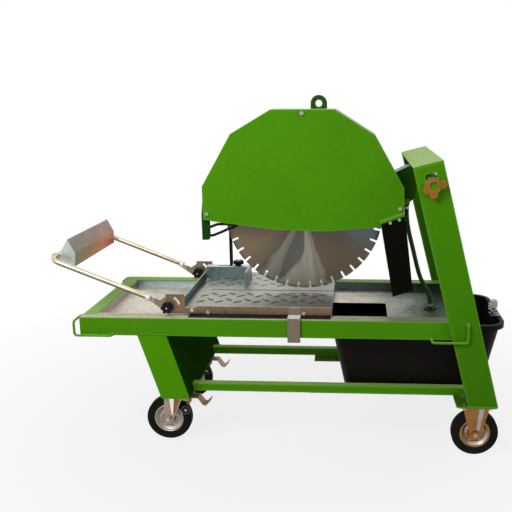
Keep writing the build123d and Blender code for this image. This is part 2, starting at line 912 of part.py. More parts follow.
# Wing nut that clamps the tilt, its rod end set back in the bore
nut_rear = table_front - portal_flange - washer_wall - turning_gap
wings = ((wing_turn, wing_right), (wing_turn + 204, wing_left), (wing_turn + 258, wing_low))
with BuildPart() as wing_nut:
    with BuildSketch(across(nut_rear)):
        with Locations((pivot_x, pivot_z)):
            Circle(wing_radius)
    extrude(amount=wing_depth)
    with BuildSketch(across(nut_rear - wing_depth / 4)):
        for angle, reach in wings:
            with Locations(Location(from_pivot(0, 0), angle)):
                with Locations((reach / 2, 0)):
                    Rectangle(reach, 2 * wing_lobe - 4)
                with Locations((reach, 0)):
                    Circle(wing_lobe)
    extrude(amount=wing_depth * 0.6)
    with BuildSketch(across(nut_rear)):
        with Locations((pivot_x, pivot_z)):
            Circle(rod_radius + running_gap)
    extrude(amount=wing_depth, mode=Mode.SUBTRACT)
    chamfer(wing_nut.edges().filter_by(GeomType.CIRCLE).sort_by(Axis.Y)[:2], 2)
made["wing_nut"] = wing_nut.part

# Guard: outline of its front panel, clockwise from the lower left corner
guard_outline = [from_blade(guard_left, -guard_low_left), from_blade(guard_left, guard_side_left),
                 from_blade(guard_left + guard_slope_left, guard_top - guard_drop_left),
                 from_blade(guard_left + guard_flat_left, guard_top),
                 from_blade(guard_right - guard_flat_right, guard_top + 1),
                 from_blade(guard_right - guard_slope_right, guard_top - guard_drop_right),
                 from_blade(guard_right, guard_side_right), from_blade(guard_right + 3, guard_low_right),
                 from_blade(guard_right - guard_foot_right, -guard_foot_low_right),
                 from_blade(guard_belly_right, -guard_belly_low_right),
                 from_blade(-guard_belly_left, -guard_belly_low_left),
                 from_blade(guard_left + guard_foot_left, -guard_foot_low_left)]
guard_rim = guard_outline[:8]
guard_screws = [from_blade(2, guard_top - 15), from_blade(guard_left + 17, 2),
                from_blade(guard_right - 15, 31)]
seat_right = (elbow_root + 1, blade_z + seat_up)
seat_left = (elbow_root + 1 - seat_run, blade_z + seat_up - seat_rise)
flap_line = [seat_right, seat_left]
flap_seat = [seat_left, seat_right, (seat_right[0] + seat_lean, seat_right[1] - seat_drop),
             (seat_left[0] + seat_lean, seat_left[1] - seat_drop)]
flap_top = (seat_right[0] + seat_lean / 3, seat_right[1] - seat_drop / 3)
flap_tip = (flap_top[0] + flap_lean, flap_top[1] - flap_length)
flap_outline = [(flap_top[0] - seat_run, flap_top[1] - seat_rise), flap_top, flap_tip,
                (flap_tip[0] - flap_width, flap_tip[1] - flap_slope)]
rivets = []
for along in (rivet_start, rivet_start + rivet_pitch):
    rivets.append((seat_left[0] + along + seat_lean / 2,
                   seat_left[1] + along * seat_rise / seat_run - seat_drop / 2))
with BuildPart() as guard_front_panel:
    with BuildSketch(across(guard_y + guard_wall)):
        Polygon(*turned(guard_outline), align=None)
        with Locations(*guard_screws):
            Circle(guard_screw + bolt_gap, mode=Mode.SUBTRACT)
    extrude(amount=guard_wall)
    with BuildSketch(across(guard_y)):
        Polygon(*bent_sheet(flap_line, guard_wall), align=None)
    extrude(amount=flap_reach)
    with BuildSketch(across(guard_y - flap_reach + guard_wall)):
        Polygon(*turned(flap_seat), align=None)
        with Locations(*rivets):
            Circle(rivet_radius + 0.3, mode=Mode.SUBTRACT)
    extrude(amount=guard_wall)
made["guard_front"] = guard_front_panel.part

# Guard shell: back plate, plates welded around its rim, screw tabs, and the water elbow
with BuildPart() as guard_shell:
    with BuildSketch(across(guard_rear_y)):
        Polygon(*turned(guard_outline), align=None)
        with Locations((blade_x, blade_z)):
            Circle(shaft_hole, mode=Mode.SUBTRACT)
    extrude(amount=guard_wall)
    for plate in sheet_runs(guard_rim, -guard_wall, guard_seam):
        with BuildSketch(across(guard_rear_y - guard_wall - guard_seam)):
            Polygon(*plate, align=None)
        extrude(amount=guard_rear_y - guard_y - 2 * guard_wall - guard_seam)
    with BuildSketch(across(guard_y + guard_wall + 10)):
        with Locations(*guard_screws):
            Circle(13)
        Polygon(*turned(beside(guard_rim, -guard_wall - guard_seam) + guard_outline[8:]), align=None,
                mode=Mode.INTERSECT)
        with Locations(*guard_screws):
            Circle(guard_screw + 0.2, mode=Mode.SUBTRACT)
    extrude(amount=10)
    with BuildSketch(across(blade_y + elbow_size / 2)):
        with Locations(((elbow_root + elbow_end) / 2, elbow_z + elbow_wall / 2)):
            Rectangle(elbow_end - elbow_root, elbow_wall)
    extrude(amount=elbow_size)
    with BuildSketch(Plane.XY.offset(elbow_z - nipple_drop)):
        with Locations((elbow_x, blade_y)):
            Circle(nipple_radius)
    extrude(amount=nipple_drop)
made["guard_shell"] = guard_shell.part

# Screws of the guard panel and rivets of the flap
with BuildPart() as guard_bolts:
    with BuildSketch(across(guard_y)):
        with Locations(*guard_screws):
            RegularPolygon(9, 6)
    extrude(amount=6)
    with BuildSketch(across(guard_y + 13)):
        with Locations(*guard_screws):
            Circle(guard_screw)
    extrude(amount=13)
    with BuildSketch(across(guard_y - flap_reach - flap_wall)):
        with Locations(*rivets):
            Circle(2 * rivet_radius)
    extrude(amount=2.5)
    with BuildSketch(across(guard_y - flap_reach + guard_wall + 2)):
        with Locations(*rivets):
            Circle(rivet_radius)
    extrude(amount=flap_wall + guard_wall + 2)
made["guard_bolts"] = guard_bolts.part

# Rubber flaps: one over the cut, one strip behind it
flap_rear = guard_y - flap_reach
with BuildPart() as splash_flaps:
    with BuildSketch(across(flap_rear)):
        Polygon(*turned(flap_outline), align=None)
        with Locations(*rivets):
            Circle(rivet_radius + 0.3, mode=Mode.SUBTRACT)
    extrude(amount=flap_wall)
    with BuildSketch(Plane.YZ.offset(blade_x - strip_lead - strip_wall / 2)):
        with Locations((guard_rear_y - guard_wall - strip_width / 2, blade_z - 7 - strip_length / 2)):
            Rectangle(strip_width, strip_length)
    extrude(amount=strip_wall)
made["splash_flaps"] = splash_flaps.part

# Blade core with gullets, and its diamond segments
pitch = 360.0 / segment_count
core_radius = blade_radius - segment_height
with BuildPart() as blade_core:
    with BuildSketch(across(blade_y + blade_wall / 2)):
        with Locations((blade_x, blade_z)):
            Circle(core_radius)
            Circle(bore_radius + running_gap, mode=Mode.SUBTRACT)
            with PolarLocations(core_radius - gullet_depth / 2 + 2, segment_count, start_angle=pitch / 2):
                SlotOverall(gullet_depth, gullet_width, mode=Mode.SUBTRACT)
            with PolarLocations(core_radius, segment_count, start_angle=pitch / 2):
                Rectangle(8, gullet_width, mode=Mode.SUBTRACT)
    extrude(amount=blade_wall)
made["blade_core"] = blade_core.part

with BuildPart() as blade_segments:
    with BuildSketch(across(blade_y + segment_wall / 2)):
        with Locations((blade_x, blade_z)):
            Circle(blade_radius)
            Circle(core_radius, mode=Mode.SUBTRACT)
            with PolarLocations(core_radius + segment_height / 2, segment_count, start_angle=pitch / 2):
                Rectangle(3 * segment_height, gullet_width + 1, mode=Mode.SUBTRACT)
    extrude(amount=segment_wall)
made["blade_segments"] = blade_segments.part

# Clamping flanges, arbor nut and motor shaft with its rotor
outer_front = blade_y - blade_wall / 2 - flange_wall
inner_rear = blade_y + blade_wall / 2 + flange_wall
with BuildPart() as blade_flanges:
    for flange_rear in (outer_front + flange_wall, inner_rear):
        with BuildSketch(across(flange_rear)):
            with Locations((blade_x, blade_z)):
                Circle(flange_radius)
                Circle(bore_radius + running_gap, mode=Mode.SUBTRACT)
        extrude(amount=flange_wall)
    fillet(blade_flanges.edges().filter_by(GeomType.CIRCLE).sort_by(Axis.Y)[:1], 3)
made["blade_flanges"] = blade_flanges.part

with BuildPart() as arbor_nut:
    with BuildSketch(across(outer_front)):
        with Locations((blade_x, blade_z)):
            RegularPolygon(nut_radius, 6)
            Circle(shaft_radius + running_gap, mode=Mode.SUBTRACT)
    extrude(amount=nut_length)
made["arbor_nut"] = arbor_nut.part

motor_front = guard_rear_y + arm_plate
body_front = motor_front + motor_flange_wall
body_rear = body_front + motor_length
cowl_rear = body_rear + cowl_length
shaft_steps = [
    (outer_front - nut_length - 4, outer_front, shaft_radius),
    (outer_front, inner_rear, bore_radius),
    (inner_rear, inner_rear + 14, bore_radius + 10),
    (inner_rear + 14, body_front + bell_wall + 2, shaft_radius),
    (body_front + bell_wall + 2, body_rear - bell_wall - 2, rotor_radius),
    (body_rear - bell_wall - 2, body_rear + 30, tail_radius),
]
with BuildPart() as motor_shaft:
    for start, end, radius in shaft_steps:
        with BuildSketch(across(end)):
            with Locations((blade_x, blade_z)):
                Circle(radius)
        extrude(amount=end - start)
    with BuildSketch(across(body_rear + 28)):
        with Locations((blade_x, blade_z)):
            Circle(tail_radius + 10)
            with PolarLocations((tail_radius + fan_radius) / 2, 7):
                Rectangle(fan_radius - tail_radius, 4)
    extrude(amount=20)
made["motor_shaft"] = motor_shaft.part

# Motor: flange, finned body with the wound stator, end bell and fan cowl
with BuildPart() as motor_housing:
    with BuildSketch(across(body_front)):
        with Locations((blade_x, blade_z)):
            Circle(motor_flange)
    extrude(amount=motor_flange_wall)
    with BuildSketch(across(body_rear)):
        with Locations((blade_x, blade_z)):
            Circle(motor_radius)
            with PolarLocations(motor_radius + fin_height / 2 - 1, fin_count, start_angle=180 / fin_count):
                Rectangle(fin_height + 2, fin_wall)
    extrude(amount=motor_length)
    with BuildSketch(across(body_front + box_setback + box_depth - 5)):
        with Locations((blade_x, pad_top - (pad_rise + pad_sink) / 2)):
            Rectangle(pad_size, pad_rise + pad_sink)
    extrude(amount=pad_size)
    with BuildSketch(across(body_rear - bell_wall)):
        with Locations((blade_x, blade_z)):
            Circle(rotor_radius + rotor_gap)
    extrude(amount=body_rear - body_front - 2 * bell_wall, mode=Mode.SUBTRACT)
    with BuildSketch(across(body_rear)):
        with Locations((blade_x, blade_z)):
            Circle(tail_radius + running_gap)
    extrude(amount=bell_wall, mode=Mode.SUBTRACT)
    with BuildSketch(across(body_front + bell_wall)):
        with Locations((blade_x, blade_z)):
            Circle(shaft_radius + running_gap)
    extrude(amount=bell_wall + motor_flange_wall, mode=Mode.SUBTRACT)
made["motor_housing"] = motor_housing.part

with BuildPart() as fan_cowl:
    with BuildSketch(across(cowl_rear)):
        with Locations((blade_x, blade_z)):
            Circle(motor_radius)
    extrude(amount=cowl_length)
    with BuildSketch(across(cowl_rear - cowl_wall)):
        with Locations((blade_x, blade_z)):
            Circle(motor_radius - cowl_wall)
    extrude(amount=cowl_length - cowl_wall, mode=Mode.SUBTRACT)
    with BuildSketch(across(cowl_rear)):
        with Locations((blade_x, blade_z)):
            for ring, count in ((30, 8), (54, 14), (78, 20)):
                with PolarLocations(ring, count):
                    Circle(7, mode=Mode.ADD)
    extrude(amount=cowl_wall, mode=Mode.SUBTRACT)
    fillet(fan_cowl.edges().filter_by(GeomType.CIRCLE).filter_by(lambda e: e.radius == motor_radius)
           .sort_by(Axis.Y)[-1:], 2.5)
made["fan_cowl"] = fan_cowl.part

# Arm: hub tube, motor plate with lifting eye, and the open box beam between them
plate_low_edge = from_blade(motor_flange + arm_plate_spare, -arm_plate_low)
plate_top_edge = from_blade(motor_flange + arm_plate_spare, arm_plate_high)
beam_top = [from_pivot(-beam_far, -beam_far_drop), from_pivot(-beam_mid, beam_mid_rise),
            from_pivot(-beam_near, beam_near_rise)]
beam = [from_pivot(-beam_foot, -beam_foot_drop), from_pivot(-beam_bend, -beam_bend_drop),
        from_pivot(-beam_far, -beam_low_drop), plate_low_edge, plate_top_edge,
        *beam_top, from_pivot(-beam_end, beam_end_rise)]
hollow = [from_blade(motor_flange - hollow_inset, -hollow_low),
          from_blade(motor_flange - hollow_inset, arm_plate_high - arm_wall)]
hollow += [(x, z - arm_wall) for x, z in beam_top]
hollow.append(from_pivot(-hollow_end, -hollow_drop))
with BuildPart() as head_arm:
    with BuildSketch(across(guard_rear_y + arm_depth)):
        Polygon(*turned(beam), align=None)
        with Locations((pivot_x, pivot_z)):
            Circle(hub_boss)
    extrude(amount=arm_depth)
    with BuildSketch(across(guard_rear_y + arm_depth - arm_wall)):
        Polygon(*turned(hollow), align=None)
    extrude(amount=arm_depth - arm_wall - arm_plate, mode=Mode.SUBTRACT)
    with BuildSketch(across(guard_rear_y + arm_plate)):
        Polygon(*turned([plate_low_edge, plate_top_edge, from_blade(0, motor_flange),
                         from_blade(0, -motor_flange)]), align=None)
        with Locations((blade_x, blade_z)):
            Circle(motor_flange)
        with Locations((eye_x, (eye_z + blade_z) / 2)):
            Rectangle(2 * eye_radius, eye_z - blade_z)
        with Locations((eye_x, eye_z)):
            Circle(eye_radius)
            Circle(eye_hole, mode=Mode.SUBTRACT)
        with Locations((blade_x, blade_z)):
            Circle(shaft_hole, mode=Mode.SUBTRACT)
    extrude(amount=arm_plate)
    hub_front = table_front - portal_flange + portal_wall + hub_gap
    hub_rear = table_rear + portal_flange - portal_wall - hub_gap
    with BuildSketch(across(hub_rear)):
        with Locations((pivot_x, pivot_z)):
            Circle(hub_outer)
    extrude(amount=hub_rear - hub_front)
    with BuildSketch(across(hub_rear)):
        with Locations((pivot_x, pivot_z)):
            Circle(rod_radius + running_gap)
    extrude(amount=hub_rear - hub_front, mode=Mode.SUBTRACT)
made["head_arm"] = head_arm.part

# Switch box on the motor, with its push buttons and the power inlet
box_front = body_front + box_setback
box_left = blade_x - box_width / 2
button_z = pad_top + box_height / 2
button_seats = {"start_button": box_front + box_depth * 0.3, "stop_button": box_front + box_depth * 0.7}
with BuildPart() as switch_box:
    with BuildSketch(Plane.XY.offset(pad_top)):
        with Locations((blade_x, box_front + box_depth / 2)):
            RectangleRounded(box_width, box_depth, box_round)
    extrude(amount=box_height)
    fillet(switch_box.faces().sort_by(Axis.Z)[-1].edges(), 5)
    for y in button_seats.values():
        with BuildSketch(Plane.YZ.offset(box_left)):
            with Locations((y, button_z)):
                Circle(button_radius + turning_gap)
        extrude(amount=button_seat, mode=Mode.SUBTRACT)
made["switch_box"] = switch_box.part
for name, y in button_seats.items():
    with BuildPart() as button:
        with BuildSketch(Plane.YZ.offset(box_left - button_reach)):
            with Locations((y, button_z)):
                Circle(button_radius)
        extrude(amount=button_reach + button_seat - button_spare)
        fillet(button.edges().filter_by(GeomType.CIRCLE).sort_by(Axis.X)[:1], 2)
    made[name] = button.part

box_rear = box_front + box_depth
with BuildPart() as power_inlet:
    with BuildSketch(across(box_rear + inlet_length)):
        with Locations((blade_x, button_z)):
            Circle(inlet_radius)
            Circle(inlet_radius - inlet_wall, mode=Mode.SUBTRACT)
    extrude(amount=inlet_length)
    with BuildSketch(across(box_rear + inlet_base)):
        with Locations((blade_x, button_z)):
            Circle(inlet_radius)
    extrude(amount=inlet_base)
    with BuildSketch(across(box_rear + inlet_base + inlet_pin_reach)):
        with Locations((blade_x, button_z)):
            with PolarLocations((inlet_radius + 2) / 2, 5, start_angle=90):
                Circle(inlet_pin)
    extrude(amount=inlet_pin_reach + 2)
made["power_inlet"] = power_inlet.part

# Water pipes to both sides of the blade, in a bracket on the guard
pipe_y = guard_y + 45
bracket_in = guard_left - 6
bracket_out = guard_left - 12
pipe_bracket = [from_blade(guard_left, 53), from_blade(bracket_in, 53), from_blade(bracket_out, -7),
                from_blade(bracket_out, -118), from_blade(guard_left + 16, -118),
                from_blade(guard_left + 16, -112), from_blade(bracket_in, -112), from_blade(bracket_in, -7)]
bracket_face = [from_blade(bracket_in, -30), from_blade(bracket_out + bracket_width, -30),
                from_blade(bracket_out + bracket_width, -97), from_blade(guard_left + 16, -118),
                from_blade(bracket_in, -118)]
near_pipe = [(bracket_in, pipe_y - 8, -63), (guard_left + 22, pipe_y - 8, -63),
             (guard_left + 52, pipe_y - 4, -51), (guard_left + 96, blade_y - 17, -56),
             (guard_left + 133, blade_y - 14, -68)]
far_pipe = [(bracket_in, pipe_y + 9, -104), (guard_left + 30, pipe_y + 9, -104),
            (guard_left + 70, blade_y + 17, -94), (guard_left + 98, blade_y + 17, -79),
            (guard_left + 133, blade_y + 14, -80)]
with BuildPart() as water_bracket:
    with BuildSketch(across(pipe_y + 20)):
        Polygon(*turned(pipe_bracket), align=None)
    extrude(amount=40)
    with BuildSketch(across(pipe_y - 20 + bracket_wall)):
        Polygon(*turned(bracket_face), align=None)
    extrude(amount=bracket_wall)
made["water_bracket"] = water_bracket.part
with BuildPart() as water_pipes:
    for points in (near_pipe, far_pipe):
        with BuildLine() as pipe_line:
            FilletPolyline(*[(blade_x + x, y, blade_z + z) for x, y, z in points], radius=22)
        with BuildSketch(Plane(pipe_line.line @ 0, z_dir=pipe_line.line % 0)):
            Circle(pipe_bore)
        sweep(path=pipe_line.line)
made["water_pipes"] = water_pipes.part

# Carriage: folded deck with the kerf slot, end fence and the side plates of the handle
deck_depth = table_width - 2 * deck_inset
deck_x = (deck_left + deck_right) / 2
fence_x = deck_left - fence_offset
fence_low = deck_top - fence_drop
fence_outline = [(fence_x, deck_top + fence_rise), (fence_x, fence_low), (deck_left, fence_low)]
side_right = fence_x + fence_wall + side_overlap
side_outline = [(deck_left + side_lap, flange_bottom + side_lift),
                (deck_left + side_lap, deck_top - side_inset),
                (side_right, deck_top - side_inset), (side_right, fold_z + side_head),
                from_fold(-side_back, side_head), from_fold(-side_back, side_neck),
                from_fold(-side_shoulder, side_waist), from_fold(-side_shoulder, -side_waist),
                (fold_x - side_foot, flange_bottom + side_lift)]
slot_to = slot_from - fold_angle
slot_ends = []
slot_sector = []
for turn in (slot_to - slot_spare, slot_from + slot_spare):
    across_slot = slot_radius * cos(radians(turn))
    up_slot = slot_radius * sin(radians(turn))
    slot_ends.append(from_fold(across_slot, up_slot))
    slot_sector.append(from_fold(3 * across_slot, 3 * up_slot))
with BuildPart() as carriage_deck:
    with BuildSketch(Plane.XY.offset(flange_bottom)):
        with Locations((deck_x, table_mid)):
            Rectangle(deck_length, deck_depth)
    extrude(amount=deck_top - flange_bottom)
    with BuildSketch(Plane.XY.offset(flange_bottom)):
        with Locations((deck_x, table_mid)):
            Rectangle(deck_length - 2 * deck_wall, deck_depth - 2 * deck_wall)
    extrude(amount=deck_top - flange_bottom - deck_wall, mode=Mode.SUBTRACT)
    with BuildSketch(Plane.XY.offset(flange_bottom)):
        with Locations(((kerf_left + deck_right + 20) / 2, blade_y)):
            RectangleRounded(deck_right - kerf_left + 20, kerf_width, kerf_width / 2 - 0.1)
    extrude(amount=deck_top - flange_bottom, mode=Mode.SUBTRACT)
    with BuildSketch(across(table_front + fence_front + fence_length)):
        Polygon(*bent_sheet(fence_outline, fence_wall), align=None)
    extrude(amount=fence_length)
    for side in (1, -1):
        with BuildSketch(across(rear_of(side, deck_inset, deck_inset - side_plate))):
            Polygon(*turned(side_outline), align=None)
            with Locations((fold_x, fold_z)):
                Circle(stud_radius + running_gap, mode=Mode.SUBTRACT)
        extrude(amount=side_plate)
        with BuildSketch(across(rear_of(side, deck_inset, deck_inset - side_plate))):
            with Locations((fold_x, fold_z)):
                Circle(slot_radius + slot_width / 2)
                Circle(slot_radius - slot_width / 2, mode=Mode.SUBTRACT)
            Polygon((fold_x, fold_z), *slot_sector, align=None, mode=Mode.INTERSECT)
            with Locations(*slot_ends):
                Circle(slot_width / 2)
        extrude(amount=side_plate, mode=Mode.SUBTRACT)
        with BuildSketch(across(rear_of(side, deck_inset, deck_inset + deck_wall))):
            with Locations((roller_left, roller_z), (roller_right, roller_z)):
                Circle(pin_radius)
        extrude(amount=deck_wall, mode=Mode.SUBTRACT)
made["carriage_deck"] = carriage_deck.part

# Clips that hook the carriage under the rails
clip_top = table_height + clip_wall
clip_low = rail_bottom - clip_under
hook = [(deck_inset, deck_top - 2), (deck_inset, clip_top), (-clip_out, clip_top), (-clip_out, clip_low),
        (clip_hook, clip_low)]
with BuildPart() as tip_clips:
    for side in (1, -1):
        line = [(inward(side, depth), z) for depth, z in hook]
        with BuildSketch(Plane.YZ.offset(clip_left)):
            Polygon(*bent_sheet(line, -side * clip_wall), align=None)
        extrude(amount=clip_width)
made["tip_clips"] = tip_clips.part

# Roller pins, bolts of the side plates and the stud of the stop
stud_y = stop_y + stop_lip / 2
pin_in = deck_inset + deck_wall + roller_width + 4
with BuildPart() as carriage_bolts:
    for side in (1, -1):
        with BuildSketch(across(rear_of(side, deck_inset, pin_in))):
            with Locations((roller_left, roller_z), (roller_right, roller_z)):
                Circle(pin_radius)
        extrude(amount=pin_in - deck_inset)
        with BuildSketch(across(rear_of(side, deck_inset, deck_inset - bolt_head_height))):
            with Locations((roller_left, roller_z), (roller_right, roller_z)):
                RegularPolygon(bolt_head - 1, 6)
        extrude(amount=bolt_head_height)
        with BuildSketch(across(rear_of(side, pin_in - 2, pin_in))):
            with Locations((roller_left, roller_z), (roller_right, roller_z)):
                Circle(pin_radius + 3)
        extrude(amount=2)
        outer = deck_inset - side_plate
        with BuildSketch(across(rear_of(side, outer, outer - bolt_head_height))):
            with Locations((deck_left + 18, deck_top - 16)):
                RegularPolygon(bolt_head - 1, 6)
        extrude(amount=bolt_head_height)
    with BuildSketch(Plane.XY.offset(deck_top)):
        with Locations((stop_stud_x, stud_y)):
            Circle(stud_radius)
    extrude(amount=stop_rise + stop_stud_rise)
made["carriage_bolts"] = carriage_bolts.part

# Carriage rollers on the tracks
for side, depth_name in ((1, "front"), (-1, "rear")):
    for x, end_name in ((roller_left, "left"), (roller_right, "right")):
        near = deck_inset + deck_wall + 1
        with BuildPart() as roller:
            with BuildSketch(across(rear_of(side, near, near + roller_width))):
                with Locations((x, roller_z)):
                    Circle(roller_radius)
                    Circle(pin_radius + running_gap, mode=Mode.SUBTRACT)
            extrude(amount=roller_width)
        made["roller_" + depth_name + "_" + end_name] = roller.part

# Folding handle: bent tube with a lug on each end
lug_in = deck_inset + lug_gap
stud_turn = radians(slot_from)
slot_pin = from_fold(slot_radius * cos(stud_turn), slot_radius * sin(stud_turn))
arm_run = hypot(grip_x - tube_x, grip_z - tube_z)
arm_dx = (grip_x - tube_x) / arm_run
arm_dz = (grip_z - tube_z) / arm_run
lap_x = tube_x + tube_lap * arm_dx
lap_z = tube_z + tube_lap * arm_dz
lug_outline = [from_fold(-12, -lug_boss), from_fold(18, -14), (slot_pin[0] + 9, slot_pin[1] + 2),
               (slot_pin[0] - 6, slot_pin[1] + 10), from_fold(-14, 40), from_fold(-34, 27),
               (lap_x - 8 * arm_dz, lap_z + 8 * abs(arm_dx)), (lap_x, lap_z - 9)]
tube_in = deck_inset + lug_gap + lug_wall - tube_radius
with BuildPart() as handle_frame:
    with BuildLine() as bow:
        FilletPolyline((tube_x, inward(1, tube_in), tube_z), (grip_x, inward(1, tube_in), grip_z),
                       (grip_x, inward(-1, tube_in), grip_z), (tube_x, inward(-1, tube_in), tube_z),
                       radius=grip_bend)
    with BuildSketch(Plane(bow.line @ 0, z_dir=bow.line % 0)):
        Circle(tube_radius)
    sweep(path=bow.line)
    for side in (1, -1):
        with BuildSketch(across(rear_of(side, lug_in, lug_in + lug_wall))):
            Polygon(*turned(lug_outline), align=None)
            with Locations((fold_x, fold_z)):
                Circle(lug_boss)
                Circle(stud_radius + running_gap, mode=Mode.SUBTRACT)
        extrude(amount=lug_wall)
        with BuildSketch(across(rear_of(side, lug_in, deck_inset - side_plate - 1))):
            with Locations(slot_pin):
                Circle(slot_pin_radius)
        extrude(amount=lug_in - deck_inset + side_plate + 1)
made["handle_frame"] = handle_frame.part

# Hood over the grip, closed at both ends around the tube
hood_line = [(grip_x + hood_near, grip_z - 18), (grip_x + hood_step, grip_z + hood_shoulder),
             (grip_x + hood_crest, grip_z + hood_rise), (grip_x + hood_far, grip_z + 17),
             (grip_x + hood_far - 3, grip_z - hood_drop)]
hood_length = table_width - 2 * (tube_in + grip_bend + hood_gap)
hood_rear = table_mid + hood_length / 2
with BuildPart() as hand_hood:
    with BuildSketch(across(hood_rear)):
        Polygon(*bent_sheet(hood_line, -hood_wall), align=None)
    extrude(amount=hood_length)
    for end_rear in (hood_rear, hood_rear - hood_length + hood_end):
        with BuildSketch(across(end_rear)):
            Polygon(*turned(hood_line), align=None)
            with Locations((grip_x, grip_z)):
                Circle(tube_radius + 6)
                Circle(tube_radius, mode=Mode.SUBTRACT)
        extrude(amount=hood_end)
made["hand_hood"] = hand_hood.part

# Star knobs of the handle, with studs through the lugs: outside in front, inside at the rear
outer_face = deck_inset - side_plate - turning_gap
inner_face = lug_in + lug_wall + turning_gap
for side, name, seat, away, stud_end in ((1, "front", outer_face, -1, inner_face + 6),
                                         (-1, "rear", inner_face, 1, outer_face - 6)):
    neck_end = seat + away * knob_neck
    head_end = neck_end + away * knob_wall
    with BuildPart() as knob:
        with BuildSketch(across(rear_of(side, neck_end, head_end))):
            with Locations((fold_x, fold_z)):
                Circle(knob_radius - knob_lobe + 1)
                with PolarLocations(knob_radius - knob_lobe, 6):
                    Circle(knob_lobe)
        extrude(amount=knob_wall)
        with BuildSketch(across(rear_of(side, seat, neck_end))):
            with Locations((fold_x, fold_z)):
                Circle(stud_radius + 5)
        extrude(amount=knob_neck)
        with BuildSketch(across(rear_of(side, neck_end, stud_end))):
            with Locations((fold_x, fold_z)):
                Circle(stud_radius)
        extrude(amount=abs(stud_end - neck_end))
    made["handle_knob_" + name] = knob.part

# Angle stop that slides along the deck, and its clamping knob
stop_near = blade_y + stop_kerf_gap
with BuildPart() as angle_stop:
    with BuildSketch(Plane.XY.offset(deck_top + turning_gap)):
        with Locations(((stop_left + stop_right) / 2, stop_y - stop_wall / 2)):
            Rectangle(stop_right - stop_left, stop_wall)
    extrude(amount=stop_top - deck_top - turning_gap)
    with BuildSketch(Plane.XY.offset(deck_top + turning_gap)):
        with Locations((stop_right - stop_wall / 2, (stop_near + stop_y) / 2)):
            Rectangle(stop_wall, stop_y - stop_near)
    extrude(amount=stop_end_top - deck_top - turning_gap)
    with BuildSketch(Plane.XY.offset(stop_top - stop_wall)):
        with Locations(((stop_left + stop_right) / 2, stop_y + stop_lip / 2 - stop_wall)):
            Rectangle(stop_right - stop_left, stop_lip)
    extrude(amount=stop_wall)
    with BuildSketch(Plane.XY.offset(stop_top - stop_wall)):
        with Locations((stop_stud_x - stop_travel / 2, stud_y)):
            SlotCenterToCenter(stop_travel + 4, 2 * stud_radius + 1)
    extrude(amount=stop_wall, mode=Mode.SUBTRACT)
made["angle_stop"] = angle_stop.part

knob_low = stop_top + turning_gap
with BuildPart() as stop_knob:
    with BuildSketch(Plane.XY.offset(knob_low)):
        with Locations((stop_stud_x, stud_y)):
            Circle(2 * stud_radius)
    extrude(amount=knob_neck + 2)
    with BuildSketch(Plane.XY.offset(knob_low + knob_neck + 2)):
        with Locations((stop_stud_x, stud_y)):
            Circle(knob_radius - knob_lobe + 1)
            with PolarLocations(knob_radius - knob_lobe, 6):
                Circle(knob_lobe)
    extrude(amount=knob_wall)
    with BuildSketch(Plane.XY.offset(knob_low)):
        with Locations((stop_stud_x, stud_y)):
            Circle(stud_radius + running_gap)
    extrude(amount=stop_stud_rise, mode=Mode.SUBTRACT)
made["stop_knob"] = stop_knob.part

# Water tub on the shelves, and the pump that hangs in it from the tray
tub_bottom = shelf_top + turning_gap
tub_x = (tub_left + tub_right) / 2
tub_long = tub_right - tub_left
with BuildPart() as tub:
    with BuildSketch(Plane.XY.offset(tub_bottom)):
        with Locations((tub_x, table_mid)):
            RectangleRounded(tub_long - 2 * tub_taper_x, 2 * (tub_half - tub_taper_y), tub_round)
    with BuildSketch(Plane.XY.offset(tub_rim)):
        with Locations((tub_x, table_mid)):
            RectangleRounded(tub_long, 2 * tub_half, tub_round)
    loft()
    with BuildSketch(Plane.XY.offset(tub_rim - tub_lip_wall)):
        with Locations((tub_x, table_mid)):
            RectangleRounded(tub_long + 2 * tub_lip, 2 * (tub_half + tub_lip), tub_round + tub_lip)
    extrude(amount=tub_lip_wall)
    with BuildSketch(Plane.XY.offset(tub_bottom + tub_wall)):
        with Locations((tub_x, table_mid)):
            RectangleRounded(tub_long - 2 * tub_taper_x - 2 * tub_wall,
                             2 * (tub_half - tub_taper_y - tub_wall), tub_round - tub_wall)
    with BuildSketch(Plane.XY.offset(tub_rim)):
        with Locations((tub_x, table_mid)):
            RectangleRounded(tub_long - 2 * tub_wall, 2 * (tub_half - tub_wall), tub_round - tub_wall)
    loft(mode=Mode.SUBTRACT)
made["tub"] = tub.part

tray_top = tray_floor + tray_wall
pump_bottom = tub_bottom + pump_lift
with BuildPart() as water_pump:
    for bottom, top, radius in ((pump_bottom, pump_bottom + pump_height, pump_radius),
                                (pump_bottom + pump_height, tray_top, pipe_radius),
                                (tray_top, tray_top + pump_collar_wall, pump_collar),
                                (tray_top + pump_collar_wall, nipple_top, nipple_radius)):
        with BuildSketch(Plane.XY.offset(bottom)):
            with Locations((pump_x, blade_y)):
                Circle(radius)
        extrude(amount=top - bottom)
made["water_pump"] = water_pump.part

